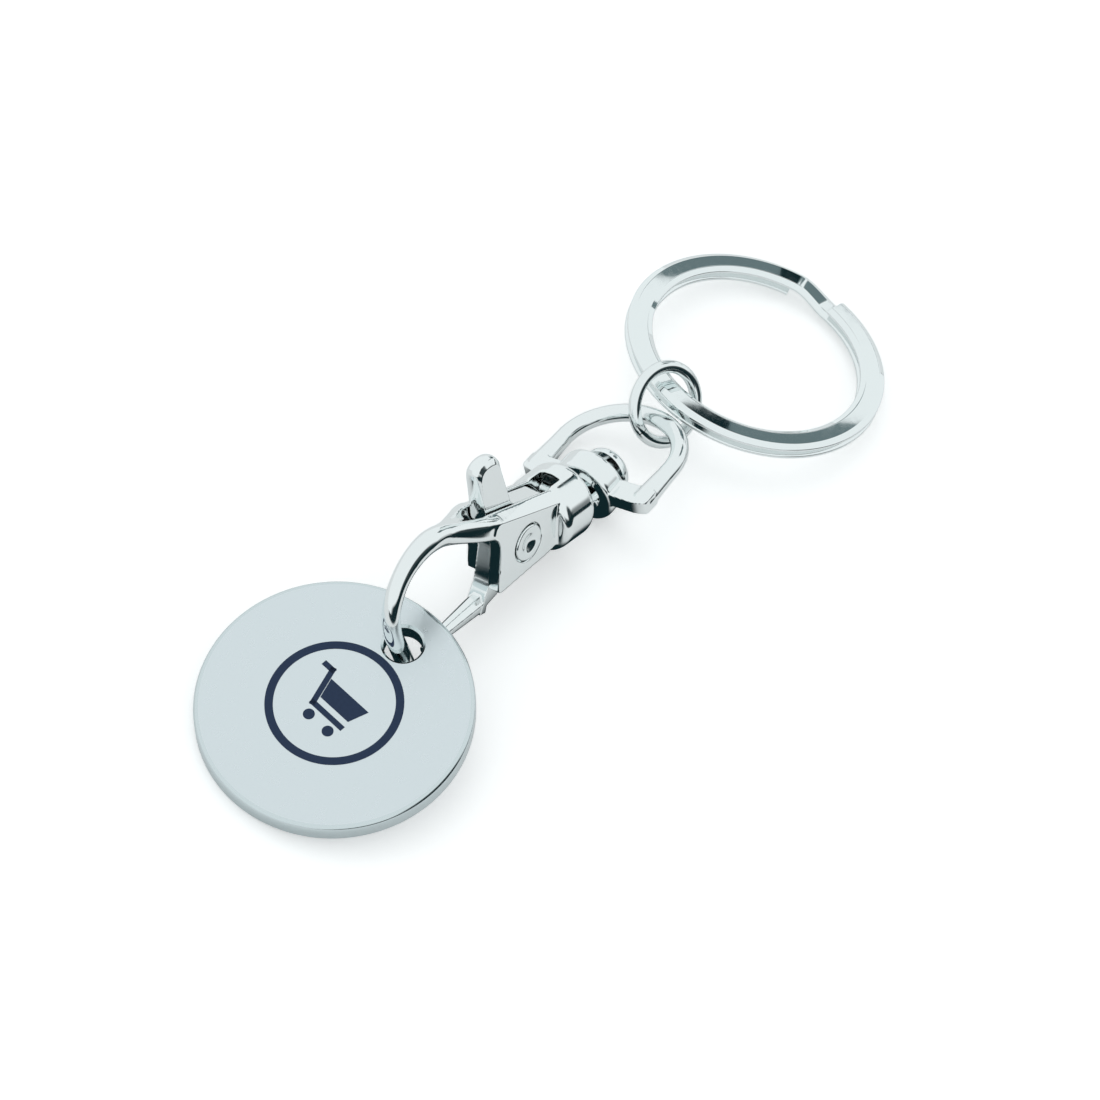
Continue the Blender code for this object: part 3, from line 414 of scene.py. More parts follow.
def make_materials():
    """The keyring's finishes, by name."""
    # Each metal is given by its colour, roughness, ripple's length and height in mm, and haze
    return {
        # Bright nickel on a zinc casting: near white, mirror gloss, and the slow waves of a barrel polish
        "cast_nickel": plated_metal("bright_nickel_on_zinc_casting", "#F1F5F5", 0.06, 2.6, 0.008, 0.05),
        # Nickel on turned steel: the same colour, truer surface
        "turned_nickel": plated_metal("bright_nickel_on_turned_steel", "#EFF4F4", 0.07, 3.0, 0.004, 0.06),
        # Nickel on drawn wire: mirror bright, hardly any ripple
        "wire_nickel": plated_metal("bright_nickel_on_drawn_wire", "#EFF4F4", 0.05, 3.0, 0.003, 0.05),
        # Nickel on rolled spring wire: flats and bevels with a faint haze
        "ring_nickel": plated_metal(
            "bright_nickel_on_rolled_spring_wire", "#F0F5F5", 0.03, 4.0, 0.002, 0.03),
        # Token steel, satin rolled: pale blue grey, broad soft reflections
        "token_face": plated_metal("satin_rolled_token_steel", "#DEE6E9", 0.27, 5.0, 0.002, 0.05),
        # Token rim, tumbled bright
        "token_rim": plated_metal("tumbled_bright_token_rim", "#D6E0E2", 0.12, 3.0, 0.003, 0.05),
        # Oil tempered spring wire: darker grey, dull
        "spring_wire": plated_metal("tempered_spring_wire", "#8E9697", 0.28, 0.8, 0.002, 0.08),
        # Enamel ink from a printing pad: deep navy, half gloss
        "ink": pad_print_ink(),
    }


def pad_print_ink():
    """Pad printed enamel ink: deep navy, half gloss, with a fine mottle where the pad pressed it."""
    material = bpy.data.materials.new("navy_pad_print_ink")
    material.use_nodes = True
    tree = material.node_tree
    shader = tree.nodes["Principled BSDF"]
    place = node(tree, "ShaderNodeTexCoord")
    mottle = node(tree, "ShaderNodeTexNoise", {
        "Vector": place.outputs["Object"], "Scale": 1 / (INK_MOTTLE * MM), "Detail": 2.0})
    tint = node(tree, "ShaderNodeMix", {
        0: mottle.outputs["Fac"], 6: linear("#182A45"), 7: linear("#1F3452")}, data_type="RGBA")
    tree.links.new(tint.outputs[2], shader.inputs["Base Color"])
    shader.inputs["Roughness"].default_value = 0.42
    shader.inputs["Specular IOR Level"].default_value = 0.25
    material.diffuse_color = linear("#1F3350")
    return material


def bare_material(name):
    """A material whose node tree is still empty, and that tree."""
    material = bpy.data.materials.new(name)
    material.use_nodes = True
    material.node_tree.nodes.clear()
    return material, material.node_tree


def painted(piece, *finishes):
    """Give a piece its finishes, in place of any that it has."""
    piece.data.materials.clear()
    for finish in finishes:
        piece.data.materials.append(finish)
    return piece


# Mesh helpers, all in millimetres in the clasp's frame

def add_mesh(name, mesh):
    """An object that holds this mesh."""
    piece = bpy.data.objects.new(name, mesh)
    bpy.context.scene.collection.objects.link(piece)
    return piece


def mesh_from(name, work):
    """Turn a bmesh into an object, with its faces pointing outwards."""
    bmesh.ops.recalc_face_normals(work, faces=work.faces)
    mesh = bpy.data.meshes.new(name)
    work.to_mesh(mesh)
    work.free()
    return add_mesh(name, mesh)


def settled(piece):
    """A piece with its modifiers made real, as a plain mesh object of the same name."""
    bpy.context.view_layer.update()
    evaluated = piece.evaluated_get(bpy.context.evaluated_depsgraph_get())
    mesh = bpy.data.meshes.new_from_object(evaluated)
    name = piece.name
    bpy.data.objects.remove(piece)
    mesh.name = name
    return add_mesh(name, mesh)


def turned(name, profile, matrix, steps=96):
    """Turn a profile of (radius, height) points about Z, then place it. Ends at radius 0 are closed."""
    work = bmesh.new()
    around = [math.tau * i / steps for i in range(steps)]
    rings = []
    for radius, height in profile:
        if radius == 0:
            rings.append([work.verts.new((0.0, 0.0, height))])
        else:
            rings.append([
                work.verts.new((radius * math.cos(a), radius * math.sin(a), height)) for a in around
            ])
    for first, second in zip(rings, rings[1:]):
        for i in range(steps):
            j = (i + 1) % steps
            if len(first) == 1:
                work.faces.new((first[0], second[i], second[j]))
            elif len(second) == 1:
                work.faces.new((first[i], first[j], second[0]))
            else:
                work.faces.new((first[i], first[j], second[j], second[i]))
    work.transform(matrix)
    return mesh_from(name, work)


def arc(centre, radius, start, end, steps=8):
    """Points of a round corner of a profile, from one angle in degrees to another."""
    points = []
    for i in range(steps + 1):
        angle = math.radians(start + (end - start) * i / steps)
        points.append((centre[0] + radius * math.cos(angle), centre[1] + radius * math.sin(angle)))
    return points


def drum(radius, low, high, edge):
    """The profile of a solid drum with round edges."""
    profile = [(0.0, high)]
    profile += arc((radius - edge, high - edge), edge, 90, 0)
    profile += arc((radius - edge, low + edge), edge, 0, -90)
    return profile + [(0.0, low)]


def straight_bore(radius, low, high):
    """The profile of a plain round cutter."""
    return [(0.0, high), (radius, high), (radius, low), (0.0, low)]


def eased_outline(corners, steps=6):
    """An outline from corners (x, y, reach): each corner is rounded off from this far along its sides."""
    points = []
    count = len(corners)
    for i, (x, y, reach) in enumerate(corners):
        here = Vector((x, y))
        if reach == 0:
            points.append(here)
            continue
        before = Vector(corners[i - 1][:2]) - here
        after = Vector(corners[(i + 1) % count][:2]) - here
        start = here + before.normalized() * min(reach, before.length * CORNER_LIMIT)
        end = here + after.normalized() * min(reach, after.length * CORNER_LIMIT)
        for step in range(steps + 1):
            share = step / steps
            points.append(start * (1 - share) ** 2 + here * 2 * share * (1 - share) + end * share ** 2)
    return points


def plate(name, outline, thickness):
    """A flat plate with this outline, centred on the clasp's plane."""
    return loft(name, [
        [Vector((p[0], p[1], height)) for p in outline] for height in (-thickness / 2, thickness / 2)
    ])


def loft(name, rings):
    """Skin a row of rings with equal numbers of points and close both ends."""
    work = bmesh.new()
    rows = [[work.verts.new(place) for place in ring] for ring in rings]
    count = len(rows[0])
    for first, second in zip(rows, rows[1:]):
        for i in range(count):
            j = (i + 1) % count
            work.faces.new((first[i], first[j], second[j], second[i]))
    work.faces.new(list(reversed(rows[0])))
    work.faces.new(rows[-1])
    return mesh_from(name, work)


def combined(piece, tools, operation):
    """Join tools to a piece, or cut them from it."""
    for tool in tools:
        step = piece.modifiers.new(operation.title(), "BOOLEAN")
        step.operation = operation
        step.solver = "EXACT"
        step.object = tool
    piece = settled(piece)
    for tool in tools:
        bpy.data.objects.remove(tool)
    return piece


def cast(piece, voxel, smoothing=CAST_SMOOTHING):
    """Soften a joined shape as a casting is: one skin of fine even faces, its corners run together."""
    remesh = piece.modifiers.new("Cast skin", "REMESH")
    remesh.mode = "VOXEL"
    remesh.voxel_size = voxel
    soften = piece.modifiers.new("Soften corners", "SMOOTH")
    soften.factor = SMOOTHING_FACTOR
    soften.iterations = smoothing
    return settled(piece)


def eased_root(piece):
    """Smooth the hook's root and the crown's valley once more, with the rest of the casting left crisp."""
    low, high = ROOT_SPAN
    group = piece.vertex_groups.new(name="hook_root")
    for vertex in piece.data.vertices:
        x, y, _ = vertex.co
        share = smoothstep((x - low) / ROOT_FADE) * smoothstep((high - x) / ROOT_FADE)
        share *= smoothstep((y - ROOT_UNDERSIDE) / ROOT_FADE)
        if share > 0:
            group.add([vertex.index], share, "REPLACE")
    soften = piece.modifiers.new("Soften root", "SMOOTH")
    soften.factor = SMOOTHING_FACTOR
    soften.iterations = ROOT_SMOOTHING
    soften.vertex_group = group.name
    piece = settled(piece)
    piece.vertex_groups.clear()
    return piece


def wire_tree(material):
    """A node tree that sweeps a round wire along a path of edges, with named sizes."""
    tree = bpy.data.node_groups.new("wire_along_path", "GeometryNodeTree")
    face = tree.interface
    face.new_socket("Path", in_out="INPUT", socket_type="NodeSocketGeometry")
    face.new_socket("Wire radius", in_out="INPUT", socket_type="NodeSocketFloat")
    face.new_socket("Sides", in_out="INPUT", socket_type="NodeSocketInt")
    face.new_socket("Wire", in_out="OUTPUT", socket_type="NodeSocketGeometry")
    given = node(tree, "NodeGroupInput")
    path = node(tree, "GeometryNodeMeshToCurve", {"Mesh": given.outputs["Path"]})
    section = node(tree, "GeometryNodeCurvePrimitiveCircle", {
        "Resolution": given.outputs["Sides"], "Radius": given.outputs["Wire radius"]}, mode="RADIUS")
    swept = node(tree, "GeometryNodeCurveToMesh", {
        "Curve": path.outputs["Curve"], "Profile Curve": section.outputs["Curve"], "Fill Caps": True})
    real = node(tree, "GeometryNodeRealizeInstances", {"Geometry": swept.outputs["Mesh"]})
    plated = node(tree, "GeometryNodeSetMaterial", {
        "Geometry": real.outputs["Geometry"], "Material": material})
    node(tree, "NodeGroupOutput", {"Wire": plated.outputs["Geometry"]})
    return tree


def swept_wire(name, points, radius, material, sides):
    """Run a round wire along these points with the wire's node tree."""
    work = bmesh.new()
    verts = [work.verts.new(point) for point in points]
    for first, second in zip(verts, verts[1:]):
        work.edges.new((first, second))
    mesh = bpy.data.meshes.new(name)
    work.to_mesh(mesh)
    work.free()
    piece = add_mesh(name, mesh)
    tree = wire_tree(material)
    step = piece.modifiers.new("Wire", "NODES")
    step.node_group = tree
    sizes = {"Wire radius": radius, "Sides": sides}
    for socket in tree.interface.items_tree:
        if socket.name in sizes:
            step[socket.identifier] = sizes[socket.name]
    piece = settled(piece)
    work = bmesh.new()
    work.from_mesh(piece.data)
    bmesh.ops.remove_doubles(work, verts=work.verts, dist=WIRE_MERGE)
    bmesh.ops.recalc_face_normals(work, faces=work.faces)
    work.to_mesh(piece.data)
    work.free()
    return piece


def smoothstep(share):
    """A smooth step from 0 to 1."""
    share = min(max(share, 0.0), 1.0)
    return share * share * (3 - 2 * share)


def polar(radius, angle):
    """A point of the clasp plane at this radius and angle from the bend's centre."""
    return Vector((radius * math.cos(angle), radius * math.sin(angle), 0.0))


def frame_from(origin, x_axis, z_axis):
    """A right-handed frame with this origin, this Z axis, and X as near as it can be to x_axis."""
    z = z_axis.normalized()
    x = (x_axis - z * x_axis.dot(z)).normalized()
    rotation = Matrix((x, z.cross(x), z)).transposed()
    return Matrix.Translation(origin) @ rotation.to_4x4()


def clasp_to_world():
    """The clasp's frame in the world, from the lever's and the swivel's axes, with millimetres as units."""
    joints = {joint["name"]: joint for joint in frame["joints"]}
    z = -Vector(joints["lever_press"]["axis"]).normalized()
    x = Vector(joints["swivel_turn"]["axis"]).normalized()
    y = z.cross(x)
    rotation = Matrix((x, y, z)).transposed()
    origin = Vector(joints["lever_press"]["pos_m"]) - rotation @ PIVOT * MM
    return Matrix.Translation(origin) @ rotation.to_4x4() @ Matrix.Scale(MM, 4)


# Coin

def hook_straight():
    """The straight below the bend: its start, its direction, and the way inwards."""
    start = polar(HOOK_BEND_RADIUS, HOOK_STRAIGHT_ANGLE)
    forward = Vector((-math.sin(HOOK_STRAIGHT_ANGLE), math.cos(HOOK_STRAIGHT_ANGLE), 0.0))
    return start, forward, Vector((-forward.y, forward.x, 0.0))


def coin_matrix():
    """The coin's own frame: origin in its hole, X away from the coin's centre, Z on its printed side."""
    turn = (
        Matrix.Rotation(COIN_PITCH, 4, "Z") @ Matrix.Rotation(math.radians(-90), 4, "X")
        @ Matrix.Rotation(COIN_ROLL, 4, "X") @ Matrix.Rotation(COIN_YAW, 4, "Z")
    )
    start, forward, inward = hook_straight()
    hole = start + forward * COIN_ALONG_HOOK + inward * COIN_HOLE_INSET
    hole.z = COIN_HOLE_SIDE_SHIFT
    return Matrix.Translation(hole) @ turn


def make_coin(materials):
    """The token: flat satin faces, a bright rounded rim and a countersunk hole."""
    corner = COIN_RADIUS - COIN_EDGE
    profile = [(0.0, COIN_HALF), (corner / 2, COIN_HALF)]
    profile += arc((corner, COIN_HALF - COIN_EDGE), COIN_EDGE, 90, 0)
    profile += arc((corner, COIN_EDGE - COIN_HALF), COIN_EDGE, 0, -90)
    profile += [(corner / 2, -COIN_HALF), (0.0, -COIN_HALF)]
    to_centre = Matrix.Translation((COIN_HOLE_FROM_RIM - COIN_RADIUS, 0.0, 0.0))
    coin = turned("trolley_coin", profile, coin_matrix() @ to_centre, steps=256)
    flare = COIN_HOLE_RADIUS + COIN_HOLE_CHAMFER + OVERRUN
    bore = [
        (0.0, COIN_HALF + OVERRUN), (flare, COIN_HALF + OVERRUN),
        (COIN_HOLE_RADIUS, COIN_HALF - COIN_HOLE_CHAMFER),
        (COIN_HOLE_RADIUS, COIN_HOLE_CHAMFER - COIN_HALF),
        (flare, -COIN_HALF - OVERRUN), (0.0, -COIN_HALF - OVERRUN),
    ]
    coin = combined(coin, [turned("coin_bore", bore, coin_matrix(), steps=96)], "DIFFERENCE")
    axis = (coin_matrix().to_3x3() @ Vector((0, 0, 1))).normalized()
    painted(coin, materials["token_face"], materials["token_rim"])
    for face in coin.data.polygons:
        face.material_index = 0 if abs(face.normal.dot(axis)) > FLAT_FACE else 1
    return coin


def strip(points, width):
    """A flat strip of this width along a run of 2-D points, as one outline for each stretch."""
    quads = []
    for first, second in zip(points, points[1:]):
        a, b = Vector(first), Vector(second)
        along = (b - a).normalized() * width / 2
        side = Vector((-along.y, along.x))
        a, b = a - along, b + along
        quads.append([a - side, b - side, b + side, a + side])
    return quads


def disc(centre, radius, steps=32):
    """A round spot as an outline."""
    around = [math.tau * i / steps for i in range(steps)]
    return [Vector((centre[0] + radius * math.cos(a), centre[1] + radius * math.sin(a))) for a in around]


def make_mark(materials):
    """The printed mark: a plain ring round a basket trolley, with its top towards the hole."""
    work = bmesh.new()
    flats = strip(MARK_HANDLE, MARK_HANDLE_WIDTH)
    flats.append([Vector(point) for point in MARK_BASKET])
    flats += [disc(centre, MARK_WHEEL_RADIUS) for centre in MARK_WHEELS]
    flats = [[point * MARK_SCALE for point in outline] for outline in flats]
    steps = 128
    for i in range(steps):
        first, second = math.tau * i / steps, math.tau * (i + 1) / steps
        flats.append([
            Vector((r * math.cos(a), r * math.sin(a)))
            for r, a in ((MARK_RING_INNER, first), (MARK_RING_OUTER, first),
                         (MARK_RING_OUTER, second), (MARK_RING_INNER, second))
        ])
    for outline in flats:
        work.faces.new([work.verts.new((p.x, p.y, 0.0)) for p in outline])
    bmesh.ops.remove_doubles(work, verts=work.verts, dist=MARK_MERGE)
    out = bmesh.ops.extrude_face_region(work, geom=work.faces[:])
    lifted = [v for v in out["geom"] if isinstance(v, bmesh.types.BMVert)]
    bmesh.ops.translate(work, verts=lifted, vec=(0.0, 0.0, MARK_THICKNESS))
    # The extrusion makes its walls in another order each run, so the faces are put in order
    by_place = sorted(work.faces, key=lambda flat: tuple(flat.calc_center_median()))
    order = {flat: i for i, flat in enumerate(by_place)}
    work.faces.sort(key=order.get)
    face = (
        coin_matrix()
        @ Matrix.Translation((COIN_HOLE_FROM_RIM - COIN_RADIUS, 0.0, COIN_HALF + MARK_THICKNESS / 4))
        @ Matrix.Rotation(math.radians(-90), 4, "Z")
    )
    work.transform(face)
    return painted(mesh_from("printed_mark", work), materials["ink"])


# Clasp body

def section_ring(centre, forward, half_height, half_width, squareness, sides):
    """A rounded section square to the path: round at squareness 2, nearer a rectangle above it."""
    side = Vector((0.0, 0.0, 1.0))
    up = side.cross(forward.normalized())
    ring = []
    for i in range(sides):
        angle = math.tau * (i + 0.5) / sides
        c, s = math.cos(angle), math.sin(angle)
        reach = (abs(c) ** squareness + abs(s) ** squareness) ** (-1 / squareness)
        ring.append(centre + up * half_height * reach * s + side * half_width * reach * c)
    return ring


def hook_stations():
    """Places, directions and half sizes along the hook, from inside the clasp body round to the nose."""
    swollen = HOOK_WIRE_RADIUS * HOOK_BEND_SWELL
    top = polar(HOOK_BEND_RADIUS, HOOK_TOP_ANGLE)
    forward = Vector((-math.sin(HOOK_TOP_ANGLE), math.cos(HOOK_TOP_ANGLE), 0.0))
    stations = []
    steps = 24
    for i in range(steps + 1):
        share = 1 - i / steps
        grow = smoothstep(share)
        height = swollen + (HOOK_ROOT_HALF_HEIGHT - swollen) * grow
        width = swollen + (HOOK_ROOT_HALF_WIDTH - swollen) * grow
        square = ROUND + (HOOK_ROOT_SQUARE - ROUND) * grow
        stations.append((top - forward * HOOK_BEAM_LENGTH * share, forward, height, width, square))
    steps = 56
    for i in range(1, steps + 1):
        angle = HOOK_TOP_ANGLE + (HOOK_STRAIGHT_ANGLE - HOOK_TOP_ANGLE) * i / steps
        swell = smoothstep((HOOK_SWELL_ANGLE - angle) / (HOOK_SWELL_ANGLE - HOOK_TOP_ANGLE))
        size = HOOK_WIRE_RADIUS + (swollen - HOOK_WIRE_RADIUS) * swell
        forward = Vector((-math.sin(angle), math.cos(angle), 0.0))
        stations.append((polar(HOOK_BEND_RADIUS, angle), forward, size, size, ROUND))
    start, forward, inward = hook_straight()
    turn_at = start + forward * HOOK_NOSE_STRAIGHT
    for share in (0.33, 0.66):
        place = start.lerp(turn_at, share)
        stations.append((place, forward, HOOK_WIRE_RADIUS, HOOK_WIRE_RADIUS, ROUND))
    curl_centre = turn_at + inward * HOOK_CURL_RADIUS
    steps = 20
    for i in range(steps + 1):
        share = i / steps
        turn = Matrix.Rotation(HOOK_CURL * share, 3, "Z")
        centre = curl_centre - turn @ inward * HOOK_CURL_RADIUS
        size = HOOK_WIRE_RADIUS + (HOOK_NOSE_RADIUS - HOOK_WIRE_RADIUS) * smoothstep(share)
        stations.append((centre, turn @ forward, size, size, ROUND))
    centre, forward, size, _, _ = stations[-1]
    steps = 6
    for i in range(1, steps + 1):
        angle = math.pi / 2 * i / steps * HOOK_TIP_ROUND
        reach = centre + forward * HOOK_TIP_LENGTH * math.sin(angle)
        stations.append((reach, forward, size * math.cos(angle), size * math.cos(angle), ROUND))
    return stations


def collar_frame(x, y):
    """A frame at this place whose Z runs along the clasp."""
    return frame_from(Vector((x, y, 0.0)), Vector((0, 0, 1)), Vector((1, 0, 0)))


def crosswise(x, side):
    """A ring across the clasp at this x, from pairs of height and half width, the highest first."""
    return [Vector((x, y, z)) for y, z in side] + [Vector((x, y, -z)) for y, z in reversed(side)]


def rail_ridge():
    """The cheeks' sloping top, from the hook's crown back into the collar, with a crease on each side."""
    rings = []
    for x, crown, flat, shoulder, half in RAIL_STATIONS:
        rings.append(crosswise(x, [(crown, flat), (shoulder, half), (shoulder - RAIL_DEPTH, half)]))
    return loft("rail_ridge", rings)


def crown_valley():
    """The valley that runs out of the lever's slot along the top of the hook."""
    rings = []
    for x, floor, half in VALLEY_STATIONS:
        rings.append(crosswise(x, [
            (VALLEY_TOP, half + VALLEY_FLARE), (floor + half * VALLEY_WALL_SHARE, half),
            (floor, half * VALLEY_BED_SHARE),
        ]))
    return loft("crown_valley", rings)


def post_seat():
    """Cutters for the post's seat in the collar: a chamber for its inner head and a flared bore."""
    depth = CHAMBER_REAR - CHAMBER_FRONT
    chamber = turned(
        "chamber", straight_bore(CHAMBER_RADIUS, 0.0, depth), collar_frame(CHAMBER_FRONT, SWIVEL_AXIS_Y))
    radius = POST_SHANK_RADIUS + POST_GAP
    depth = COLLAR_END + OVERRUN - CHAMBER_REAR + OVERRUN / 2
    profile = [
        (0.0, depth), (radius + OVERRUN + BORE_FLARE, depth), (radius, depth - OVERRUN - BORE_FLARE),
        (radius, 0.0), (0.0, 0.0),
    ]
    bore = turned("bore", profile, collar_frame(CHAMBER_REAR - OVERRUN / 2, SWIVEL_AXIS_Y))
    return [chamber, bore]


def make_hook_body(materials):
    """The cast clasp body: hook, slotted cheeks and collar run together."""
    hook = loft("hook", [section_ring(*station, HOOK_SIDES) for station in hook_stations()])
    outline = eased_outline([(PIVOT.x + x, PIVOT.y + y, reach) for x, y, reach in CHEEK_CORNERS])
    body = plate("hook_body_skin", outline, BODY_WIDTH)
    setback = plate("far_cheek_setback", [Vector(point) for point in FAR_SETBACK], BODY_WIDTH / 2)
    setback.data.transform(Matrix.Translation((0.0, 0.0, -BODY_WIDTH / 4 - SLOT_WIDTH / 4)))
    body = combined(body, [setback], "DIFFERENCE")
    profile = drum(COLLAR_RADIUS, 0.0, COLLAR_END - COLLAR_START, COLLAR_EDGE)
    collar = turned("collar", profile, collar_frame(COLLAR_START, COLLAR_AXIS_Y), steps=128)
    body = combined(body, [hook, collar, rail_ridge()], "UNION")
    slot = plate("slot", eased_outline(SLOT_CORNERS), SLOT_WIDTH)
    body = combined(body, [slot, *post_seat(), rivet_seat(), crown_valley()], "DIFFERENCE")
    return painted(eased_root(cast(body, BODY_VOXEL)), materials["cast_nickel"])


def rivet_seat():
    """The rivet's bore with a round seat for a head in each cheek."""
    head = RIVET_HEAD_RADIUS + RIVET_SEAT_GAP
    pin = RIVET_PIN_RADIUS + RIVET_SEAT_GAP
    outer = BODY_WIDTH / 2 + OVERRUN
    shoulder = BODY_WIDTH / 2 + RIVET_PROUD - RIVET_HEAD_HEIGHT - RIVET_SEAT_GAP
    profile = [
        (0.0, outer), (head, outer), (head, shoulder), (pin, shoulder),
        (pin, -shoulder), (head, -shoulder), (head, -outer), (0.0, -outer),
    ]
    return turned("rivet_seat", profile, Matrix.Translation(PIVOT))


def make_rivet(materials):
    """The lever's pivot: a pin with two round heads, the near one dimpled where it was spun over."""
    top = BODY_WIDTH / 2 + RIVET_PROUD
    under = top - RIVET_HEAD_HEIGHT
    rim = RIVET_HEAD_RADIUS - RIVET_EDGE
    steps = 14
    profile = []
    for i in range(steps + 1):
        share = i / steps
        depth = RIVET_DIMPLE_DEPTH * (1 - share ** 2) ** RIVET_DIMPLE_POWER
        profile.append((RIVET_DIMPLE_RADIUS * share, top - depth))
    profile += arc((rim, top - RIVET_EDGE), RIVET_EDGE, 90, 0)
    profile += [
        (RIVET_HEAD_RADIUS, under), (RIVET_PIN_RADIUS, under), (RIVET_PIN_RADIUS, -under),
        (RIVET_HEAD_RADIUS, -under),
    ]
    profile += arc((rim, RIVET_EDGE - top), RIVET_EDGE, 0, -90)
    profile += [(0.0, -top)]
    return painted(turned("lever_rivet", profile, Matrix.Translation(PIVOT)), materials["turned_nickel"])


# Lever

def crowned_plate(name, outline, thickness, crown_at, layers=7):
    """A plate whose rim bulges between its flats: crown_at gives the bulge at a point of the outline."""
    count = len(outline)
    rings = []
    for layer in range(layers):
        lift = -1 + 2 * layer / (layers - 1)
        bulge = math.sqrt(max(0.0, 1 - lift ** 2))
        ring = []
        for i, here in enumerate(outline):
            along = outline[(i + 1) % count] - outline[i - 1]
            out = Vector((along.y, -along.x)).normalized()
            point = here + out * crown_at(here) * bulge
            ring.append(Vector((point.x, point.y, lift * thickness / 2)))
        rings.append(ring)
    return loft(name, rings)


def tab_crown(point):
    """How far the rim bulges here: not at all on the arm and tail, and more up the thumb tab to its dome."""
    height = point.y - PIVOT.y
    rise = smoothstep((height - TAB_ROOT) / TAB_CROWN_RUN)
    dome = smoothstep((height - TAB_SHOULDER) / (TAB_TOP - TAB_SHOULDER))
    return TAB_CROWN * rise + (TAB_DOME - TAB_CROWN) * dome


def make_lever(materials):
    """The lever: thumb tab with a domed top, flat tail over the spring, arm, and the faceted gate."""
    outline = eased_outline([(PIVOT.x + x, PIVOT.y + y, reach) for x, y, reach in LEVER_CORNERS])
    outline.reverse()
    lever = crowned_plate("lever_skin", outline, LEVER_THICKNESS, tab_crown)
    rings = []
    for i, (x, y, radius) in enumerate(GATE_STOPS):
        before, after = GATE_STOPS[max(i - 1, 0)], GATE_STOPS[min(i + 1, len(GATE_STOPS) - 1)]
        forward = Vector((after[0] - before[0], after[1] - before[1], 0.0))
        place = PIVOT + Vector((x, y, 0.0))
        rings.append(section_ring(place, forward, radius, radius, GATE_SQUARENESS, GATE_SIDES))
    lever = combined(lever, [loft("gate", rings)], "UNION")
    reach = LEVER_THICKNESS / 2 + OVERRUN
    profile = straight_bore(RIVET_PIN_RADIUS + RIVET_SEAT_GAP, -reach, reach)
    lever = combined(lever, [turned("lever_bore", profile, Matrix.Translation(PIVOT))], "DIFFERENCE")
    return painted(cast(lever, LEVER_VOXEL, smoothing=LEVER_SMOOTHING), materials["cast_nickel"])


def make_spring(materials):
    """The small coil under the lever's tail."""
    count = 80
    points = []
    for i in range(count + 1):
        share = i / count
        angle = math.tau * SPRING_TURNS * share
        height = SPRING_LOW + (SPRING_HIGH - SPRING_LOW) * share
        points.append(Vector((
            SPRING_X + SPRING_RADIUS * math.cos(angle), height, SPRING_RADIUS * math.sin(angle))))
    return swept_wire("lever_spring_coil", points, SPRING_WIRE_RADIUS, materials["spring_wire"], sides=16)


# Swivel

def loop_matrix():
    """The loop's own frame: origin at the hub, X along the crossbar, Y towards the loop's far end."""
    turn = Matrix.Rotation(LOOP_SPIN, 3, "X") @ Matrix.Rotation(LOOP_TILT, 3, "Z")
    along = turn @ Vector((1, 0, 0))
    across = turn @ Vector((0, 0, 1))
    return frame_from(Vector((HUB_X, SWIVEL_AXIS_Y, 0.0)), across, across.cross(along))


def make_swivel_post(materials):
    """The post: inner head in the collar's chamber, shank, and a domed outer head."""
    head_start = CHAMBER_FRONT + POST_PLAY - HUB_X
    head_end = head_start + POST_HEAD_LENGTH
    lean = POST_DOME_RADIUS * math.tan(LOOP_TILT)
    dome_start = HUB_LENGTH / 2 / math.cos(LOOP_TILT) + lean + POST_PLAY
    crown = POST_DOME_HEIGHT - POST_DOME_RIM
    profile = []
    steps = 16
    for step in range(steps + 1):
        angle = math.pi / 2 * step / steps
        height = dome_start + POST_DOME_RIM + crown * math.cos(angle)
        profile.append((POST_DOME_RADIUS * math.sin(angle), height))
    profile += [
        (POST_DOME_RADIUS, dome_start + POST_DOME_EDGE), (POST_DOME_RADIUS - POST_DOME_EDGE, dome_start),
        (POST_SHANK_RADIUS, dome_start), (POST_SHANK_RADIUS, head_end),
        (POST_HEAD_RADIUS, head_end), (POST_HEAD_RADIUS, head_start), (0.0, head_start),
    ]
    post = turned("swivel_post_turned", profile, collar_frame(HUB_X, SWIVEL_AXIS_Y))
    return painted(post, materials["turned_nickel"])


def loop_stations():
    """Places and radii along the D of wire, in the loop's frame, between its ends inside the crossbar."""
    crown = LOOP_HEIGHT - LOOP_LEG
    leg = list(LOOP_END_DOME)
    for share in (0.0, 0.25, 0.5, 0.75):
        swell = (LOOP_CORNER_RADIUS - LOOP_WIRE_RADIUS) * smoothstep(1 - share)
        leg.append((LOOP_LEG * share, LOOP_WIRE_RADIUS + swell))
    stations = [(Vector((-LOOP_HALF_WIDTH, y, 0.0)), radius) for y, radius in leg]
    steps = 64
    for step in range(steps + 1):
        angle = math.pi * (1 - step / steps)
        place = Vector((LOOP_HALF_WIDTH * math.cos(angle), LOOP_LEG + crown * math.sin(angle), 0.0))
        stations.append((place, LOOP_WIRE_RADIUS))
    stations += [(Vector((LOOP_HALF_WIDTH, y, 0.0)), radius) for y, radius in reversed(leg)]
    return stations


def crossbar_outline():
    """The crossbar's outline, with shoulders near its ends on the collar's side."""
    end, half = BAR_HALF_LENGTH, BAR_WIDTH / 2
    shoulder = end - BAR_SHOULDER_RUN
    narrow = half * BAR_END_SHARE
    return eased_outline([
        (-end, -narrow, BAR_END_ROUNDING), (-shoulder, -half, BAR_SHOULDER_ROUNDING),
        (shoulder, -half, BAR_SHOULDER_ROUNDING), (end, -narrow, BAR_END_ROUNDING),
        (end, half, BAR_END_ROUNDING), (-end, half, BAR_END_ROUNDING),
    ])


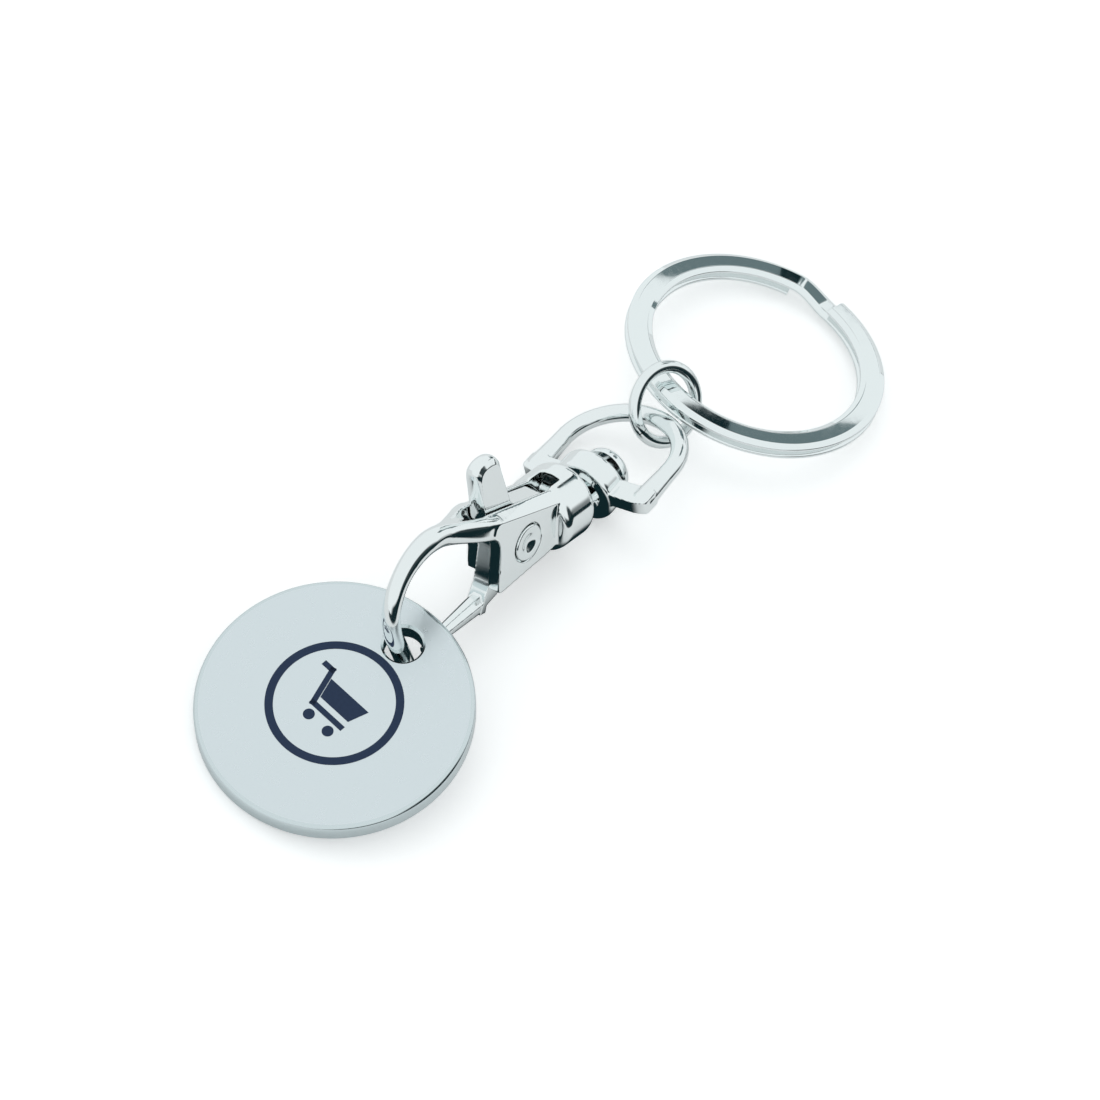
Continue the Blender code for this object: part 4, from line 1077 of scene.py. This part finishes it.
def make_swivel_loop(materials):
    """The cast D loop: round wire, flat shouldered crossbar and a round hub, run together."""
    place = loop_matrix()
    normal = Vector((0, 0, 1))
    around = [math.tau * i / LOOP_SIDES for i in range(LOOP_SIDES)]
    stations = loop_stations()
    rings = []
    for i, (point, radius) in enumerate(stations):
        ahead = stations[min(i + 1, len(stations) - 1)][0] - stations[max(i - 1, 0)][0]
        side = ahead.normalized().cross(normal)
        rings.append([
            place @ (point + side * radius * math.cos(a) + normal * radius * math.sin(a)) for a in around
        ])
    loop = loft("swivel_loop_skin", rings)
    bar = plate("crossbar", crossbar_outline(), BAR_THICKNESS)
    bar.data.transform(place)
    end = HUB_LENGTH / 2
    turn = place @ Matrix.Rotation(math.radians(-90), 4, "X")
    hub = turned("hub", drum(HUB_RADIUS, -end, end, HUB_EDGE), turn)
    loop = combined(loop, [bar, hub], "UNION")
    bore = POST_SHANK_RADIUS / math.cos(LOOP_TILT) + end * math.tan(LOOP_TILT) + POST_GAP
    profile = [
        (0.0, end + OVERRUN), (bore, end + OVERRUN), (bore, HUB_SINK - end),
        (bore + HUB_SINK + OVERRUN, -end - OVERRUN), (0.0, -end - OVERRUN),
    ]
    loop = combined(loop, [turned("hub_bore", profile, turn)], "DIFFERENCE")
    return painted(cast(loop, LOOP_VOXEL), materials["cast_nickel"])


# Rings

def make_jump_ring(materials):
    """A ring of round wire whose two ends butt together."""
    turn = Matrix.Rotation(JUMP_NORMAL_TURN, 4, "Y") @ Matrix.Rotation(-JUMP_NORMAL_RISE, 4, "X")
    place = frame_from(JUMP_CENTRE, Vector((1, 0, 0)), turn @ Vector((0, 0, 1)))
    half_gap = JUMP_BUTT_GAP / 2 / JUMP_RADIUS
    steps = 160
    points = []
    for i in range(steps + 1):
        angle = JUMP_BUTT_ANGLE + half_gap + (math.tau - 2 * half_gap) * i / steps
        points.append(place @ polar(JUMP_RADIUS, angle))
    return swept_wire("jump_ring_wire", points, JUMP_WIRE_RADIUS, materials["wire_nickel"], sides=40)


def split_section(centre, out, up):
    """The section of the split ring's wire: flat faces and broad bevels, with small soft edges."""
    half_width, half_height = SPLIT_WIRE_WIDTH / 2, SPLIT_LAYER_THICKNESS / 2
    flat, wall = half_width - SPLIT_BEVEL, half_height - SPLIT_BEVEL_DROP
    soft = SPLIT_SOFT_EDGE
    side = [
        (half_width, -wall + soft * 2), (half_width, wall - soft * 2), (half_width, wall - soft),
        (half_width - soft, wall + soft * 0.5), (half_width - soft * 2, wall + soft),
        (flat + soft * 2, half_height - soft), (flat + soft, half_height - soft * 0.5),
        (flat - soft, half_height), (flat - soft * 2, half_height),
    ]
    upper = side + [(-x, y) for x, y in reversed(side)]
    lower = [(-x, -y) for x, y in upper[1:-1]]
    return [centre + out * x + up * y for x, y in upper + lower]


def make_split_ring(materials):
    """Two flat turns of bevelled wire: the upper one crosses down to the lower between the wire's ends."""
    normal = (
        Matrix.Rotation(SPLIT_TILT_ALONG, 4, "Z") @ Matrix.Rotation(-SPLIT_TILT_ACROSS, 4, "X")
    ) @ Vector((0, 1, 0))
    place = frame_from(SPLIT_CENTRE, Vector((1, 0, 0)), normal)
    radius = (SPLIT_OUTER_DIAMETER - SPLIT_WIRE_WIDTH) / 2
    level = (SPLIT_LAYER_THICKNESS + SPLIT_LAYER_GAP) / 2
    jog = SPLIT_BOTTOM_END - SPLIT_TOP_END
    clear = SPLIT_END_GAP / radius
    jog_start = math.tau - jog + clear
    jog_end = math.tau - clear
    total = 2 * math.tau - jog
    turn = place.to_3x3()
    axis = turn @ Vector((0, 0, 1))
    steps = 640
    rings = []
    for i in range(steps + 1):
        travel = total * i / steps
        angle = SPLIT_TOP_END - travel
        drop = smoothstep((travel - jog_start) / (jog_end - jog_start))
        out = turn @ Vector((math.cos(angle), math.sin(angle), 0.0))
        centre = place.translation + out * radius + axis * level * (1 - 2 * drop)
        rings.append(split_section(centre, out, axis))
    return painted(loft("split_ring_wire", rings), materials["ring_nickel"])


# Stage, light and camera

def direction(azimuth, elevation=0.0):
    """The direction at this azimuth on the table and this elevation above it."""
    level = math.cos(elevation)
    return (level * math.cos(azimuth), level * math.sin(azimuth), math.sin(elevation))


def dark_side_share(tree, place, start, end):
    """How far a point or direction lies to the studio's dark side: 0 at start, 1 at end."""
    along = node(tree, "ShaderNodeVectorMath", {0: place, 1: direction(DARK_SIDE)}, operation="DOT_PRODUCT")
    return node(tree, "ShaderNodeMapRange", {
        "Value": along.outputs["Value"], "From Min": start, "From Max": end},
        interpolation_type="SMOOTHSTEP").outputs["Result"]


def make_world():
    """A pale studio dome for the light, white for the camera, with dark parts that only metal shows."""
    world = bpy.data.worlds.new("studio")
    bpy.context.scene.world = world
    world.use_nodes = True
    tree = world.node_tree
    tree.nodes.clear()
    place = node(tree, "ShaderNodeTexCoord").outputs["Generated"]
    height = node(tree, "ShaderNodeSeparateXYZ", {"Vector": place}).outputs["Z"]
    low = node(tree, "ShaderNodeMapRange", {
        "Value": height, "From Min": DOME_DARK_TOP[0], "From Max": DOME_DARK_TOP[1]},
        interpolation_type="SMOOTHSTEP")
    side = dark_side_share(tree, place, *DOME_DARK_SIDE)
    dark = node(tree, "ShaderNodeMath", {0: low.outputs["Result"], 1: side}, operation="MULTIPLY")
    sides = node(tree, "ShaderNodeMix", {
        0: dark.outputs[0], 6: linear(STUDIO_PALE), 7: linear(STUDIO_DARK)}, data_type="RGBA")
    facing = node(tree, "ShaderNodeVectorMath", {
        0: place, 1: direction(FLAG_AZIMUTH, FLAG_ELEVATION)}, operation="DOT_PRODUCT")
    flag = node(tree, "ShaderNodeMapRange", {
        "Value": facing.outputs["Value"], "From Min": math.cos(FLAG_SPREAD + FLAG_SOFTNESS),
        "From Max": math.cos(FLAG_SPREAD - FLAG_SOFTNESS), "To Max": FLAG_DEPTH},
        interpolation_type="SMOOTHSTEP")
    colour = node(tree, "ShaderNodeMix", {
        0: flag.outputs["Result"], 6: sides.outputs[2], 7: linear(STUDIO_DARK)}, data_type="RGBA")
    ray = node(tree, "ShaderNodeLightPath")
    dome = node(tree, "ShaderNodeBackground", {"Color": linear(DOME_TONE), "Strength": DOME_STRENGTH})
    shown = node(tree, "ShaderNodeBackground", {"Color": colour.outputs[2], "Strength": 1.0})
    white = node(tree, "ShaderNodeBackground", {"Color": linear(WHITE), "Strength": 1.0})
    metal = node(tree, "ShaderNodeMixShader", {
        0: ray.outputs["Is Glossy Ray"], 1: dome.outputs[0], 2: shown.outputs[0]})
    seen = node(tree, "ShaderNodeMixShader", {
        0: ray.outputs["Is Camera Ray"], 1: metal.outputs[0], 2: white.outputs[0]})
    node(tree, "ShaderNodeOutputWorld", {"Surface": seen.outputs[0]})


def shade_under_clasp(tree, place, clasp):
    """The painted shade of table right under the clasp, as a share: a dark strip, seen only in the metal,
    that darkens its undersides.
    """
    start, end = [clasp @ Vector(point) for point in SHADE_ENDS]
    start.z = end.z = 0.0
    run = end - start
    flat = node(tree, "ShaderNodeVectorMath", {0: place, 1: (1.0, 1.0, 0.0)}, operation="MULTIPLY")
    gone = node(tree, "ShaderNodeVectorMath", {0: flat.outputs["Vector"], 1: start}, operation="SUBTRACT")
    along = node(tree, "ShaderNodeVectorMath", {0: gone.outputs["Vector"], 1: run}, operation="DOT_PRODUCT")
    share = node(tree, "ShaderNodeMath", {
        0: along.outputs["Value"], 1: run.length_squared}, operation="DIVIDE", use_clamp=True)
    nearest = node(tree, "ShaderNodeVectorMath", {0: run, "Scale": share.outputs[0]}, operation="SCALE")
    away = node(tree, "ShaderNodeVectorMath", {
        0: gone.outputs["Vector"], 1: nearest.outputs["Vector"]}, operation="DISTANCE")
    return node(tree, "ShaderNodeMapRange", {
        "Value": away.outputs["Value"], "From Min": SHADE_REACH * MM, "From Max": SHADE_CORE * MM},
        interpolation_type="SMOOTHSTEP").outputs["Result"]


def make_floor(clasp):
    """A plain white table top with the keyring's soft shadow. Metal sees it end on the dark side, with
    painted shade under the clasp.
    """
    bpy.ops.mesh.primitive_plane_add(size=TABLE_SIZE, location=(0.0, 0.0, -TABLE_DROP))
    floor = bpy.context.object
    floor.name = "white_table"
    # Matt white laminate: no gloss, so nothing of the keyring shows in it
    material, tree = bare_material("white_laminate")
    ray = node(tree, "ShaderNodeLightPath")
    place = node(tree, "ShaderNodeTexCoord").outputs["Object"]
    lift = node(tree, "ShaderNodeMath", {
        0: ray.outputs["Is Camera Ray"], 1: TABLE_GLOW}, operation="MULTIPLY")
    glow = node(tree, "ShaderNodeEmission", {"Color": linear(WHITE), "Strength": lift.outputs[0]})
    body = node(tree, "ShaderNodeBsdfDiffuse", {"Color": linear(TABLE_TONE)})
    both = node(tree, "ShaderNodeAddShader", {0: body.outputs[0], 1: glow.outputs[0]})
    # Only glossy rays see these: the table dark past its edge on the dark side, and painted shade under the
    # clasp
    past = dark_side_share(tree, place, (TABLE_EDGE - TABLE_FADE) * MM, TABLE_EDGE * MM)
    under = shade_under_clasp(tree, place, clasp)
    dark = node(tree, "ShaderNodeMath", {0: past, 1: under}, operation="MAXIMUM")
    shown = node(tree, "ShaderNodeMath", {
        0: ray.outputs["Is Glossy Ray"], 1: dark.outputs[0]}, operation="MULTIPLY")
    dark_room_and_painted_shade = node(tree, "ShaderNodeEmission", {"Color": linear(STUDIO_DARK), "Strength": 1.0})
    seen = node(tree, "ShaderNodeMixShader", {0: shown.outputs[0], 1: both.outputs[0], 2: dark_room_and_painted_shade.outputs[0]})
    node(tree, "ShaderNodeOutputMaterial", {"Surface": seen.outputs[0]})
    floor.data.materials.append(material)


def make_cards(clasp):
    """Grey and dark cards over the split ring that only the metal sees, with a bright slot between them."""
    centre = clasp @ SPLIT_CENTRE
    towards = Vector(CARD_TOWARDS).normalized()
    place = frame_from(centre + towards * CARD_DISTANCE * MM, Vector(CARD_ACROSS), towards)
    jog = clasp @ JOG_PLACE
    for name, tone, share, corners in CARDS:
        # Studio paper: one even tone, unlit
        material, tree = bare_material(name + "_paper")
        paper = node(tree, "ShaderNodeEmission", {"Color": linear(tone), "Strength": 1.0})
        node(tree, "ShaderNodeOutputMaterial", {"Surface": paper.outputs[0]})
        mesh = bpy.data.meshes.new(name)
        points = [jog.lerp(place @ Vector((x * MM, y * MM, 0.0)), share) for x, y in corners]
        mesh.from_pydata(points, [], [tuple(range(len(points)))])
        mesh.materials.append(material)
        card = add_mesh(name, mesh)
        card.visible_camera = False
        card.visible_diffuse = False
        card.visible_shadow = False
        card.visible_transmission = False


def make_lamps():
    """Two large soft lamps: an overhead one and a weaker one from the left."""
    for name, place, size, power in LAMPS:
        data = bpy.data.lights.new(name, "AREA")
        data.size = size
        data.energy = power
        lamp = bpy.data.objects.new(name, data)
        lamp.matrix_world = frame_from(Vector(place), Vector((1, 0, 0)), Vector(place))
        lamp.visible_glossy = False
        bpy.context.scene.collection.objects.link(lamp)


def make_camera(clasp):
    """The photograph's view, set in the clasp's frame."""
    data = bpy.data.cameras.new("photo_view")
    data.lens = CAMERA_LENS
    data.sensor_width = CAMERA_SENSOR
    data.clip_start = CAMERA_CLIP_START
    camera = bpy.data.objects.new("photo_view", data)
    place = clasp @ (CAMERA_AIM + CAMERA_BACK.normalized() * CAMERA_DISTANCE)
    turn = clasp.to_3x3().normalized()
    back = (turn @ CAMERA_BACK).normalized()
    up = turn @ CAMERA_UP
    right = up.cross(back).normalized()
    rotation = Matrix((right, back.cross(right), back)).transposed()
    camera.matrix_world = Matrix.Translation(place) @ rotation.to_4x4()
    bpy.context.scene.collection.objects.link(camera)
    bpy.context.scene.camera = camera


def finish_piece(piece, clasp, body, cad_node, shade_flat_above=SHARP):
    """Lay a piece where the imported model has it, shade it, and make it ride on its body."""
    piece.data.transform(clasp)
    piece.data.shade_smooth()
    piece.data.set_sharp_from_angle(angle=shade_flat_above)
    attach(piece, body)
    if cad_node:
        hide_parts(cad_node)


def main():
    """Make every piece, the stage and the camera."""
    bpy.context.scene.view_settings.view_transform = "Standard"
    clasp = clasp_to_world()
    materials = make_materials()
    finish_piece(make_coin(materials), clasp, "coin", "coin")
    finish_piece(make_mark(materials), clasp, "coin", None)
    finish_piece(make_hook_body(materials), clasp, "clasp", "hook_body", SOFT)
    finish_piece(make_rivet(materials), clasp, "clasp", "lever_pivot_rivet")
    spring = make_spring(materials)
    finish_piece(spring, clasp, "clasp", "lever_spring")
    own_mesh(spring)
    finish_piece(make_lever(materials), clasp, "lever", "lever", SOFT)
    finish_piece(make_swivel_post(materials), clasp, "swivel", "swivel_post")
    finish_piece(make_swivel_loop(materials), clasp, "swivel", "swivel_loop", SOFT)
    finish_piece(make_jump_ring(materials), clasp, "jump_ring", "jump_ring")
    finish_piece(make_split_ring(materials), clasp, "split_ring", "split_ring")
    make_world()
    make_floor(clasp)
    make_cards(clasp)
    make_lamps()
    make_camera(clasp)


main()
